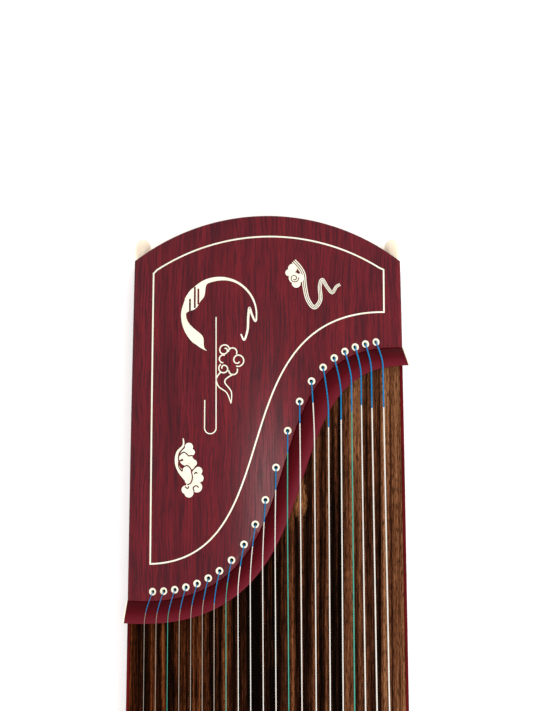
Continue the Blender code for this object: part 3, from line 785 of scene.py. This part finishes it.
def make_foot_tips():
    """Rounded bone noses on the tail ends of the side boards."""
    for name, side in (("near_foot_tip", -1), ("far_foot_tip", 1)):
        low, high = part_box(name)
        middle_z, half_z = (low.z + high.z) / 2, (high.z - low.z) / 2
        outer, inner = max(abs(low.y), abs(high.y)), min(abs(low.y), abs(high.y))
        middle_y, half_y = (outer + inner) / 2, (outer - inner) / 2
        cap_from = TIP_NOSE + TIP_CAP
        # stages from the joint to the nose: x, share of the width, share of the height
        stages = []
        for k in range(5):
            neck = mix(TIP_NECK, 1, sin(k * pi / 10))
            stages.append((mix(TIP_JOINT, cap_from, k / 5), neck, 1.0))
        for k in range(16):
            turn = radians(min(88.5, 6 * k))
            stages.append((cap_from - TIP_CAP * sin(turn), cos(turn), cos(turn) ** TIP_DOME))
        rings = []
        for x, across, up in stages:
            ring = []
            for turn in circle(32):
                c, s = polar(1, turn)
                y = middle_y + half_y * across * copysign(abs(c) ** TIP_SQUARE, c)
                z = middle_z + half_z * mix(up, 1, 0.1) * copysign(abs(s) ** TIP_SQUARE, s)
                ring.append((x, side * y, z))
            rings.append(ring)
        finish(loft(f"{name}_bone", rings, 50), TIP_BONE, [name])


def make_end_panel():
    """The end board of the head, with a foot at each side and an opening between them."""
    rings = []
    reach = HEAD_HALF_WIDTH
    for x in stations(END_PANEL_START, HEAD_END, 4):
        drop = softened(min(x - END_PANEL_START, HEAD_END - x))
        edge, foot = reach - drop, reach - PANEL_FOOT + drop
        height = crown(x) - drop
        outline = [(y, height - ARCH_RISE * (y / reach) ** 2) for y in spaced(-edge, edge, 64)]
        outline += mirrored([(edge, drop), (foot, drop), (foot - PANEL_SLOPE, PANEL_ARCH + drop)])
        rings.append([(x, y, z) for y, z in outline])
    panel = loft("head_end_panel_lacquer", rings)
    finish(panel, LACQUER, ["head_end_panel"])


# ---- bridges


# where the rear bridge's section has its points: from the foot (0) up to the crest (1)
REAR_SLOPE = (0, 0.06, 0.14, 0.24, 0.36, 0.5, 0.64, 0.78, 0.9, 0.965)
# these shares also set the rise attribute that paints shade on the rear bridge
PAINTED_SHADE_STEPS = (*REAR_SLOPE, 1, 1, 1, 0)  # the crest's corners and the way back below as well


def rear_swell(s):
    """Rise of the rear bridge from its foot (0) to its crest (1): steep at first, then flat."""
    return 1 - (1 - s) ** 1.8


def rear_overhang(share):
    """How far beyond the side board the crest reaches, at the two ends only."""
    near = max(0.0, 1 - share / OVERHANG_SHARE)
    far = max(0.0, 1 - (1 - share) / OVERHANG_SHARE)
    return FAR_OVERHANG * far - NEAR_OVERHANG * near


def rear_lines(share):
    """Foot and crest of the rear bridge at a share of its length."""
    foot_x, foot_y = bezier(S_EDGE, share)
    crest_x, crest_y = bezier(CREST, share)
    crest_y = copysign(min(abs(crest_y), half_width(crest_x)), crest_y)
    return (foot_x - TUCK, foot_y), (crest_x, crest_y + rear_overhang(share))


def safe_above(x, y, lift):
    """A point over the soundboard. Beyond the side boards the surface goes on level."""
    return x, y, top(x, copysign(min(abs(y), half_width(x)), y)) + lift


def rear_section(share):
    (foot_x, foot_y), (crest_x, crest_y) = rear_lines(share)
    ring = []
    for s in REAR_SLOPE:
        x, y = mix(foot_x, crest_x, s), mix(foot_y, crest_y, s)
        ring.append(safe_above(x, y, mix(REAR_BRIDGE_FOOT, REAR_BRIDGE_CREST, rear_swell(s))))
    z = safe_above(crest_x, crest_y, 0)[2]
    corner = mix(foot_x, crest_x, 0.99), mix(foot_y, crest_y, 0.99)
    ring.append((*corner, z + REAR_BRIDGE_CREST - 0.3 * MM))
    ring.append((crest_x, crest_y, z + REAR_BRIDGE_CREST - 1.3 * MM))
    return ring + [(crest_x, crest_y, z + GAP), safe_above(foot_x, foot_y, GAP)]


def make_rear_bridge():
    """The S-shaped bridge, and a bone cap on each end of it."""
    bridge = loft("rear_bridge_lacquer", [rear_section(share) for share in spaced(0, 1, 140)])
    # painted shade: the rise attribute darkens the lacquer towards the foot and lightens it at the
    # crest
    rise = bridge.data.attributes.new("rise", "FLOAT", "POINT")
    for k, mark in enumerate(rise.data):
        mark.value = PAINTED_SHADE_STEPS[k % len(PAINTED_SHADE_STEPS)]
    finish(bridge, BRIDGE_LACQUER_PAINTED_SHADE, ["rear_bridge"])
    for name, share, side in (("near", 0.0, -1), ("far", 1.0, 1)):
        face = rear_section(share)
        rings = []
        for out in (0.05 * MM, 0.3 * MM, 1.5 * MM, 1.8 * MM):
            grow = 0.3 * MM if 0.1 * MM < out < 1.7 * MM else 0.0
            rings.append([(x, y + side * out, z + grow) for x, y, z in face])
        finish(loft(f"rear_bridge_cap_{name}", rings), BONE)


def make_front_bridge():
    """A wooden ridge with a bone strip let into its top. Both sections are in millimetres."""
    wood = ((-6, 0.3), (-6, 9.4), (-5.4, 10.8), (-3.2, 13), (-1.4, 13), (-1.4, 12.4))
    wood += ((1.4, 12.4), (8.5, 5), (8.5, 0.3))
    bone = ((-1.3, 11.5), (-1.3, 14.2), (-0.8, 14.7), (0.4, 14.7), (1.2, 14.0), (1.2, 11.5))
    reach = half_width(FRONT_BRIDGE_X) - SIDE_LIP - 1 * MM
    rings = []
    strip = []
    for y in stations(-reach, reach, 60):
        rings.append([above(FRONT_BRIDGE_X + dx * MM, y, up * MM) for dx, up in wood])
        z = top(FRONT_BRIDGE_X, y)
        strip.append([(FRONT_BRIDGE_X + dx * MM, y, z + up * MM) for dx, up in bone])
    bridge = loft("front_bridge_rosewood", rings)
    finish(bridge, ROSEWOOD, ["front_bridge"])
    finish(loft("front_bridge_bone", strip), BONE)


def curve_points(start, handle, end, count):
    """Points of a quadratic curve after its start."""
    places = []
    for t in spaced(0, 1, count)[1:]:
        weights = ((1 - t) ** 2, 2 * t * (1 - t), t * t)
        places.append(tuple(sum(map(mul, weights, axis)) for axis in zip(start, handle, end)))
    return places


def bridge_outline(height, half_span):
    """The A shape of a movable bridge across the strings: (across, up)."""
    ankle = (half_span - 0.8 * MM, 4.5 * MM)
    waist = (5.2 * MM, 0.70 * height)
    neck = (2.9 * MM, height - 4 * MM)
    right = [(half_span - 7 * MM, 0), (half_span, 0), ankle]
    right += curve_points(ankle, (0.36 * half_span, 0.26 * height), waist, 8)
    right += curve_points(waist, (3.2 * MM, 0.80 * height), neck, 4)
    arch = 0.42 * height
    crotch = curve_points((half_span - 7 * MM, 0), (0.42 * half_span, arch), (0, arch), 7)
    return mirrored(right) + [(-y, z) for y, z in crotch] + crotch[-2::-1]


def plate(name, outline, thickness_at, bevel):
    """A flat piece standing across X, with rounded edges."""
    rings = [[(end * thickness_at(z) / 2, y, z) for y, z in outline] for end in (-1, 1)]
    piece = loft(name, rings)
    step = piece.modifiers.new("soften", "BEVEL")
    step.width, step.segments, step.limit_method = bevel, 2, "ANGLE"
    step.angle_limit = radians(38)
    return piece


def make_movable_bridges():
    for number in NUMBERS:
        x, foot_y, _, _ = bridge_place(number)
        height = bridge_height(number)
        radius = arch_radius(x)
        foot = mix(THIN_BRIDGE, THICK_BRIDGE, string_share(number))
        half_span = mix(17 * MM, 22 * MM, string_share(number))

        def thickness(z):
            return mix(foot, BRIDGE_TOP_THICKNESS, max(0, z) / height)

        outline = []
        for y, z in bridge_outline(height, half_span):
            # the feet follow the soundboard's arch
            lift = GAP - y**2 / (2 * radius) if z == 0 else 0
            outline.append((y, z + lift))
        label = f"bridge_{number:02d}"
        wood = plate(f"{label}_rosewood", outline, thickness, 0.5 * MM)
        # the bone cap: a block with chamfered corners and a groove for the string
        low, high, half, groove = height - 3.9 * MM, height + 2 * GAP, 2.8 * MM, 0.6 * MM
        right = [(half, low), (half, high - 0.6 * MM), (half - 0.7 * MM, high), (groove, high)]
        block = mirrored(right)
        block = block[-1:] + right + [(0, high - 0.35 * MM)] + block[4:-1]
        cap = plate(f"{label}_cap", block, lambda z: thickness(z) + 0.4 * MM, 0.25 * MM)
        for piece, material, slot in ((wood, ROSEWOOD, "bridge_wood"), (cap, BONE, "bone")):
            piece.location = (x, foot_y, top(x, foot_y))
            piece.rotation_euler = (-asin(foot_y / radius), 0, 0)
            finish(piece, material, body=label)
        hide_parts(label)


# ---- strings


def rear_height(x, y):
    """Height of the rear bridge's surface at a place, or None beside it."""
    best = None
    for share in spaced(0, 1, 120):
        (foot_x, foot_y), (crest_x, crest_y) = rear_lines(share)
        run = (crest_x - foot_x, crest_y - foot_y)
        s = ((x - foot_x) * run[0] + (y - foot_y) * run[1]) / (run[0] ** 2 + run[1] ** 2)
        s = min(1.0, max(0.0, s))
        miss = hypot(foot_x + s * run[0] - x, foot_y + s * run[1] - y)
        if best is None or miss < best[0]:
            best = (miss, s)
    if best[0] > 1.5 * MM:
        return None
    return top(x, y) + mix(REAR_BRIDGE_FOOT, REAR_BRIDGE_CREST, rear_swell(best[1]))


def over_bridge(number):
    """A string from its hole over the rear bridge: a taut line lying on the bridge's surface."""
    radius = string_radius(number)
    hole_x, hole_y = string_hole(number)
    crest_x, crest_y = crest_point(number)
    hole_x += LEAN
    points = [(0.0, tail_top(hole_x, hole_y) + 0.9 * MM)]
    for share in spaced(0, 1, 24)[1:-1]:
        x, y = mix(hole_x, crest_x, share), mix(hole_y, crest_y, swung(share))
        height = rear_height(x, y)
        if height is None:
            height = tail_top(x, y) if x < line_x(S_EDGE, y) else top(x, y)
        points.append((share, height + radius))
    points.append((1.0, top(crest_x, crest_y) + REAR_BRIDGE_CREST + radius))
    # a taut line touches only the hull of the surface
    hull = []
    for point in points:
        while len(hull) > 1 and below(hull[-2], hull[-1], point):
            hull.pop()
        hull.append(point)
    line = []
    for share in spaced(0, 1, 12):
        here, there = next(pair for pair in zip(hull, hull[1:]) if share <= pair[1][0] + 1e-9)
        z = mix(here[1], there[1], (share - here[0]) / (there[0] - here[0]))
        line.append((mix(hole_x, crest_x, share), mix(hole_y, crest_y, swung(share)), z))
    return line


def swung(share):
    """How far a string has swung sideways at a share of its way over the bridge."""
    return 1 - (1 - share) ** 1.6


def below(first, middle, last):
    """Whether the middle point lies under the line from the first to the last."""
    run, rise = last[0] - first[0], last[1] - first[1]
    return (middle[1] - first[1]) * run <= rise * (middle[0] - first[0])


def along(points, length):
    """The first part of a line of points, cut at a length."""
    kept = [Vector(points[0])]
    for point in points[1:]:
        step = (Vector(point) - kept[-1]).length
        if step >= length:
            return kept + [kept[-1].lerp(Vector(point), length / step)]
        length -= step
        kept.append(Vector(point))
    return kept


def dense(points, step):
    """The same line with points no further apart than step."""
    filled = [Vector(points[0])]
    for point in points[1:]:
        here, there = filled[-1], Vector(point)
        parts = max(1, ceil((there - here).length / step))
        filled += [here.lerp(there, k / parts) for k in range(1, parts + 1)]
    return filled


def silk_length(number):
    if number >= FIRST_LONG_SILK:
        return LONG_SILKS[number - FIRST_LONG_SILK]
    return SHORT_SILK + (12 * MM if number == LAST_THIN_STRING else 0)


def windings(number, radius):
    """The turns of a string round its tuning pin, downwards."""
    pin_x, pin_y, _ = pin_place(number)
    around = PIN_RADIUS + radius + 0.1 * MM
    turns = []
    for k in range(WINDINGS * 20 + 1):
        x, y = polar(around, 2 * pi * k / 20 - pi / 2)
        turns.append(Vector((pin_x + x, pin_y + y, WRAP_TOP - (2 * radius + 0.1 * MM) * k / 20)))
    return turns


def make_strings():
    """Each string in two halves that meet on its bridge, its silk wrap, and the rod behind."""
    for number in NUMBERS:
        name, label = f"{number:02d}", f"bridge_{number:02d}"
        radius = string_radius(number)
        # the thin strings take the darker copy of the white string: painted shade
        material = WHITE_STRING if number > LAST_THIN_STRING else THIN_WHITE_PAINTED_SHADE
        if number in GREEN_STRINGS:
            material = GREEN_STRING
        x, _, y, z = bridge_place(number)
        hole_x, hole_y = string_hole(number)
        start = [
            (hole_x + LEAN, hole_y, top(hole_x, hole_y) - 16 * MM),
            (hole_x + LEAN, hole_y, tail_top(hole_x, hole_y) - 0.6 * MM),
        ]
        lead = over_bridge(number)
        line = start + lead + dense([lead[-1], (x, y, z)], 40 * MM)[1:]
        tail_half = tube(f"string_{name}_tail", line, radius)
        finish(tail_half, material, body=None)
        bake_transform(tail_half)
        covered = along(start + lead + [(x, y, z)], silk_length(number) + 16 * MM)
        silk = tube(f"silk_{name}", dense(covered, 4 * MM), radius + SILK_COVER)
        finish(silk, BLUE_SILK)

        nut = nut_y(number)
        nut_top = above(FRONT_BRIDGE_X, nut, FRONT_BRIDGE_HEIGHT + 2 * GAP + radius)
        surface = top(HEAD_HOLES_X, nut)
        head = dense([(x, y, z), nut_top], 40 * MM)
        head += [
            Vector((HEAD_HOLES_X - 2 * MM, nut, surface + radius + 0.9 * MM)),
            Vector((HEAD_HOLES_X - 0.4 * MM, nut, surface + radius * 0.3)),
            Vector((HEAD_HOLES_X, nut, surface - BOARD - 2 * MM)),
        ]
        head_half = tube(f"string_{name}_head", head + windings(number, radius), radius)
        finish(head_half, material, body=None)
        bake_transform(head_half)
    ends = [above(*string_hole(number), -BOARD - 8 * MM) for number in NUMBERS]
    finish(tube("anchor_rod", ends, 2 * MM, 14), NICKEL, ["strings"])


def make_ferrules():
    """Bone eyelets that line the string holes in the tail board, each with a dark disc of painted
    shadow down its hole.
    """
    # (how far beyond the rim or the hole, height), in millimetres
    outside = ((0, -0.4), (0, 0.25), (-0.3, 0.6), (-1.1, 0.85))
    inside = ((0.7, 0.6), (0.1, -0.2), (0, -1.2), (0, -5))
    profile = [(FERRULE_RADIUS + r * MM, h * MM) for r, h in outside]
    profile += [(FERRULE_HOLE + r * MM, h * MM) for r, h in inside]
    profile += [(FERRULE_RADIUS - 1.2 * MM, h * MM) for h in (-5, -0.4)]
    # a dark disc part way down the hole stands for its shadow: painted shadow
    wide, narrow, high, low = FERRULE_HOLE + 0.05 * MM, 0.2 * MM, -3.5 * MM, -4.8 * MM
    shadow_profile = ((wide, high), (wide, low), (narrow, low), (narrow, high))
    step = 1 * MM
    for number in NUMBERS:
        x, y = string_hole(number)
        rise_x = (tail_top(x + step, y) - tail_top(x - step, y)) / (2 * step)
        rise_y = (tail_top(x, y + step) - tail_top(x, y - step)) / (2 * step)
        normal = Vector((-rise_x, -rise_y, 1)).normalized()
        centre = on_tail(x, y, 0)
        eyelet = turned(f"ferrule_{number:02d}", profile, centre, 28, normal, 50)
        finish(eyelet, BONE)
        # painted shadow down the hole
        bottom = turned(f"ferrule_hole_shadow_{number:02d}", shadow_profile, centre, 12, normal)
        finish(bottom, SHADOW)


def make_pins():
    """Nickel tuning pins: a round shank, a collar and a square head for the key."""
    # radius and height in millimetres, squareness from 0 to 1
    sections = (
        (3.2, 39, 0), (3.4, 40, 0), (3.4, 69, 0), (3.0, 69.8, 0), (2.6, 70.2, 0.7),
        (2.55, 70.6, 1), (2.45, 75.2, 1), (2.1, 76, 0.9),
    )
    for number in NUMBERS:
        x, y, _ = pin_place(number)
        rings = []
        for radius, height, square in sections:
            ring = []
            for turn in circle(24):
                c, s = polar(1, turn)
                reach = radius * MM * mix(1.0, min(1.32, 1 / max(abs(c), abs(s))), square)
                ring.append((c * reach, s * reach, height * MM))
            rings.append(ring)
        name = f"tuning_pin_{number:02d}"
        pin = loft(f"{name}_nickel", rings)
        pin.location = (x, y, 0)
        finish(pin, NICKEL, [name], name)


# ---- inlay


def ribbon(
    name, line, width, material=BONE, surface=on_tail, body="soundbox", lift=INLAY_LIFT, closed=False
):
    """A thin inlaid strip along a plan line of (x, y) on a board. width may vary along it."""
    line = dense(line + line[:1] if closed else line, 3 * MM)
    if closed:
        line.pop()
    rings = []
    for k, point in enumerate(line):
        if closed:
            before, after = line[k - 1], line[(k + 1) % len(line)]
        else:
            before, after = line[max(0, k - 1)], line[min(len(line) - 1, k + 1)]
        first, second = (point - before), (after - point)
        if first.length < 1e-9:
            first = second
        if second.length < 1e-9:
            second = first
        first, second = first.normalized(), second.normalized()
        ahead = (first + second).normalized()
        spread = 1 / max(0.45, ahead.dot(first))
        half = (width(k / (len(line) - 1)) if callable(width) else width) / 2 * spread
        side = Vector((-ahead.y, ahead.x)) * half
        a, b = point + side, point - side
        rings.append([surface(*a, -lift), surface(*a, lift), surface(*b, lift), surface(*b, -lift)])
    strip = loft(name, rings, 30, closed)
    finish(strip, material, body=body)


def make_border():
    """The closed line that follows the outline of the tail board."""
    near_corner, far_corner = (-0.7506, -0.1295), (-0.755, 0.1322)
    centre, radius = (-0.546, 0.003), 0.245
    corners = (near_corner, far_corner)
    near, far = (degrees(atan2(y - centre[1], x - centre[0]) % (2 * pi)) for x, y in corners)
    arc = arc_points(centre, radius, near, far, 50)[1:-1]
    s_line = [bezier(INLAY, t) for t in spaced(1, 0, 90)]
    ribbon("border_inlay", s_line + [near_corner] + arc + [far_corner], INLAY_WIDTH, closed=True)


def arc_points(centre, radius, start, end, count, growth=0.0):
    """Points round a centre. growth turns the arc into a spiral."""
    points = []
    for k in range(count + 1):
        x, y = polar(radius * (1 + growth * k / count), radians(mix(start, end, k / count)))
        points.append((centre[0] + x, centre[1] + y))
    return points


def flowing(points, parts=10):
    """A smooth line through a few points given in millimetres."""
    points = [Vector(p) * MM for p in points]
    line = [points[0]]
    for k in range(len(points) - 1):
        a, b = points[max(k - 1, 0)], points[k]
        c, d = points[k + 1], points[min(k + 2, len(points) - 1)]
        for step in range(1, parts + 1):
            t = step / parts
            bend = (2 * a - 5 * b + 4 * c - d) * t**2 + (3 * b - a - 3 * c + d) * t**3
            line.append(b + ((c - a) * t + bend) / 2)
    return line


def wisp(name, points, width, **looks):
    """An inlaid strip through a few points. Points and width are in millimetres."""
    ribbon(name, flowing(points), lambda share: width(share) * MM, **looks)


def through(stops, share):
    """A smooth value between (share, value) stops."""
    for (start, low), (end, high) in zip(stops, stops[1:]):
        if share <= end:
            t = max(0.0, (share - start) / (end - start))
            return mix(low, high, t * t * (3 - 2 * t))
    return stops[-1][1]


def make_moon():
    """A crescent that thins into a long arc and ends in a wave, with a reed line beside it."""
    centre, radius = (-0.7022, -0.0545), 43 * MM
    # (share of the arc from its lower end, width in millimetres)
    widths = (
        (0, 0.6), (0.09, 13), (0.28, 5.5), (0.37, 17), (0.44, 17), (0.55, 5), (0.75, 2.4),
        (1, 1.6),
    )

    def width(share):
        return through(widths, share) * MM

    points = []
    for share in spaced(0, 1, 160):
        x, y = polar(radius - width(share) / 2, radians(mix(-19, -278, share)))
        points.append((centre[0] + x, centre[1] + y))
    ribbon("moon_inlay", points, width, lift=2.5 * INLAY_LIFT)
    wave = ((-698, -12.2), (-694.5, -13.8), (-702, -17.5), (-709.5, -20.3), (-699, -21.6))
    wave += ((-685, -22.3), (-673.5, -26), (-680, -29.8))
    wisp("moon_wave", wave, lambda s: mix(1.6, 2.6, sin(pi * s)))
    for k, (x, y, long) in enumerate(((-711, -87.5, 19), (-722, -82, 24), (-723, -78, 18))):
        bar = [((x - long / 2) * MM, y * MM), ((x + long / 2) * MM, y * MM)]
        ribbon(f"moon_bar_{k}", bar, 2 * MM, VENEER, lift=4 * INLAY_LIFT)
    reed = [(-0.6995, -0.0578), (-0.5745, -0.0575)]
    reed += arc_points((-0.5747, -0.0640), 6.5 * MM, 88, -88, 14)
    reed.append((-0.606, -0.0703))
    ribbon("reed_inlay", reed, 1.2 * MM)


def lobes_of(centre, lobes):
    """Places and radii of a cloud's lobes, given in millimetres as (along, across, radius)."""
    return [(centre[0] + x * MM, centre[1] + y * MM, radius * MM) for x, y, radius in lobes]


def solid_cloud(name, centre, lobes):
    """A cloud of overlapping flat discs, lying on the tail board."""
    shape = bmesh.new()
    for x, y, radius in lobes_of(centre, lobes):
        rim = arc_points((x, y), radius, 0, 360, 28)[:-1]
        high = [shape.verts.new(on_tail(*point, INLAY_LIFT)) for point in rim]
        low = [shape.verts.new(on_tail(*point, -INLAY_LIFT)) for point in rim]
        middle = shape.verts.new(on_tail(x, y, INLAY_LIFT))
        for k in range(28):
            after = (k + 1) % 28
            shape.faces.new((middle, high[k], high[after]))
            shape.faces.new((high[k], low[k], low[after], high[after]))
        shape.faces.new(low)
    finish(make_mesh(name, shape), BONE)


def line_cloud(name, centre, lobes):
    """A cloud drawn in outline: each lobe is an arc round the outside that curls inwards."""
    for k, (x, y, radius) in enumerate(lobes_of(centre, lobes)):
        out = degrees(atan2(y - centre[1], x - centre[0]))
        turn = arc_points((x, y), radius, out - 105, out + 100, 20)
        if k % 2 == 0:
            turn += arc_points((x, y), radius, out + 100, out + 330, 20, -0.75)[1:]
        ribbon(f"{name}_lobe_{k}", turn, STROKE)


def make_clouds():
    """Three plain clouds: one in outline, one solid with a plume, and one with a long ribbon."""
    lobes = ((-11.7, -6.9, 5.5), (-9, 2, 4.8), (0.7, 8.2, 6.4))
    lobes += ((-1.4, -8.4, 4.4), (9, -8.2, 5.2), (11.5, 2.7, 4.9))
    line_cloud("line_cloud", (-0.6507, -0.0412), lobes)
    tails = (
        ((-638, -52), (-630, -57.3), (-621, -54.6), (-614, -45.6), (-602, -40.8)),
        ((-635, -38), (-630, -46), (-625, -47.5), (-615, -40.5), (-602, -40.8)),
    )
    for k, tail in enumerate(tails):
        wisp(f"line_cloud_tail_{k}", tail, lambda s: STROKE / MM * mix(1.1, 0.8, s))

    discs = (
        (-24, 0, 4.6), (-18, 3, 3.7), (-10.5, -6.5, 4.9), (-8.5, 0, 5.5), (-6, 5, 4),
        (3.5, -3, 5.8), (13.5, 0, 4.6), (3, 10.5, 4.7), (11, 12, 4.6), (21, 9, 6), (24, -3.5, 4.8),
        (27.5, 0, 5.2), (15, 6, 4.6), (-14, -1, 5), (-19, -2, 3.4), (-3, 2, 4.6), (9, 3, 5.6),
        (19, 2, 5), (6, 7, 5), (4, -7, 4),
    )
    solid_cloud("solid_cloud", (-0.5295, -0.088), discs)
    plume = ((-563, -94.5), (-555, -94.5), (-547, -101), (-536, -102), (-526, -98), (-518, -91))
    wisp("solid_cloud_plume", plume, lambda s: mix(1.2, 5.5, s))
    leaf = ((-552, -92), (-544, -96), (-537, -95), (-532, -90))
    wisp("solid_cloud_leaf", leaf, lambda s: mix(1, 6, sin(pi * s)))
    dark = (
        ((-545, -90), (-547.5, -94), (-543, -99.5), (-538, -99), (-538.5, -94.5)),
        ((-546, -91), (-543.5, -88), (-544, -84)),
        ((-526, -95.5), (-530, -95), (-532.5, -90), (-529, -86), (-525, -85), (-519, -84))
        + ((-513, -86), (-511, -90)),
        ((-540, -95), (-536, -99.5), (-530, -99), (-526, -95.5)),
        ((-531, -80), (-528.5, -83), (-526, -84.5)),
        ((-523, -82), (-525, -80), (-523.5, -78.5)),
        ((-508, -77), (-510, -79.5), (-508, -83), (-504, -82)),
        ((-509, -92.5), (-507, -89.5), (-509.5, -88)),
    )
    for k, line in enumerate(dark):
        ribbon(f"solid_cloud_line_{k}", flowing(line), 1.3 * MM, VENEER, lift=DARK_LIFT)

    puffs = ((-7.7, -1.7, 5.1), (-2.6, -6.1, 3.8), (3.1, 0.2, 6.3), (9.4, 2.4, 5), (3.3, 6.2, 5))
    solid_cloud("ribbon_cloud", (-0.747, 0.030), puffs)
    spiral = arc_points((-0.7435, 0.0303), 5 * MM, 100, 100 - 520, 40, -0.72)
    ribbon("ribbon_cloud_curl", spiral, 0.9 * MM, VENEER, lift=DARK_LIFT)
    wave = ((-763, 29.5), (-756, 36), (-747.5, 40.5), (-734, 42), (-719, 45.5), (-710.5, 52.8))
    wave += ((-719, 59.5), (-734, 59), (-742, 61.8), (-734, 67.2), (-727.5, 73), (-734, 77.5))
    wave += ((-737, 82),)
    line = flowing(wave)
    for k, shift in enumerate((-2 * MM, 0.0, 2 * MM)):
        moved = []
        for j, point in enumerate(line):
            ahead = line[min(j + 1, len(line) - 1)] - line[max(j - 1, 0)]
            aside = Vector((-ahead.y, ahead.x)).normalized() * shift
            moved.append(point + aside * mix(1.1, 0.6, j / len(line)))
        ribbon(f"ribbon_wave_{k}", moved, lambda s: mix(1.2 * MM, 0.7 * MM, s))


# ---- head and inside


def make_lid_trim():
    """A closed line on the lid, clear of the hinge."""
    inset = 9 * MM
    low_x, high_x, reach = LID_START + inset, LID_END - inset - 12 * MM, LID_HALF_WIDTH - inset
    line = [(low_x, y) for y in spaced(-reach, reach, 40)]
    line += [(x, reach) for x in spaced(low_x, high_x, 12)[1:-1]]
    line += [(high_x, y) for y in spaced(reach, -reach, 40)]
    line += [(x, -reach) for x in spaced(high_x, low_x, 12)[1:-1]]
    ribbon("lid_border_inlay", line, INLAY_WIDTH, surface=above, body="lid", closed=True)


def make_hinge_screws():
    """Three domed screws in each leaf. The profile is in millimetres."""
    profile = ((2.2, -0.3), (2.2, 0.2), (1.5, 0.7), (0.05, 0.85), (0.05, -0.3))
    profile = [(radius * MM, height * MM) for radius, height in profile]
    for name, body, x in (("fixed", "soundbox", 0.8035), ("moving", "lid", 0.7785)):
        for k in (-1, 0, 1):
            centre = (x, k * SCREW_STEP, crown(x) + LEAF_TOP)
            screw = turned(f"hinge_screw_{name}_{k + 1}", profile, centre, 20)
            finish(screw, BRASS, body=body)


def paint_frame():
    """Procedural materials for the CAD nodes that stay visible."""
    painted = {
        "back_board": PAULOWNIA,
        "tail_block": LACQUER,
        "inner_braces": PAULOWNIA,
        "pin_block": ROSEWOOD,
        "lid_hinge_fixed_leaf": BRASS,
        "lid_hinge_moving_leaf": BRASS,
    }
    for name, material in painted.items():
        node = frame["nodes"][name]
        node.data.materials.clear()
        node.data.materials.append(material)


# ---- stage


def make_stage():
    shape = bmesh.new()
    bmesh.ops.create_grid(shape, x_segments=1, y_segments=1, size=40)
    floor = make_mesh("floor", shape)
    floor.data.materials.append(floor_material())

    world = bpy.data.worlds.new("studio")
    bpy.context.scene.world = world
    world.use_nodes = True
    sky = world.node_tree.nodes["Background"]
    sky.inputs["Color"].default_value = (1, 1, 1, 1)
    sky.inputs["Strength"].default_value = 0.85

    lights = (
        # name, place, aim, size, power
        ("head_softbox", (1.3, 0.6, 2.2), (-0.2, 0, 0.1), 1.4, 26),
        ("tail_softbox", (-1.7, 1.8, 1.9), (-0.3, 0, 0.1), 1.4, 13),
        ("overhead_softbox", (-0.42, 0.05, 3.4), (-0.42, 0.05, 0.1), 1.0, 22),
    )
    for name, place, aim, size, power in lights:
        light = bpy.data.lights.new(name, "AREA")
        light.shape, light.size, light.energy = "SQUARE", size, power
        lamp = add_object(name, light)
        lamp.location = place
        lamp.rotation_euler = (Vector(aim) - Vector(place)).to_track_quat("-Z", "Y").to_euler()
        lamp.visible_glossy = name != "tail_softbox"

    camera = bpy.data.cameras.new("camera")
    camera.lens = 130.5
    camera.sensor_width = 36
    camera.clip_end = 50
    viewer = add_object("camera", camera)
    viewer.location = (-0.5525, -0.0011, 3.0)
    viewer.rotation_euler = (radians(2.05), 0, pi / 2)
    bpy.context.scene.camera = viewer
    bpy.context.scene.view_settings.view_transform = "Standard"


paint_frame()
make_tail_board()
make_soundboard()
make_head_boards()
make_side_boards()
make_foot_tips()
make_end_panel()
make_rear_bridge()
make_front_bridge()
make_movable_bridges()
make_strings()
make_ferrules()
make_pins()
make_border()
make_moon()
make_clouds()
make_lid_trim()
make_hinge_screws()
make_stage()

bpy.context.view_layer.update()
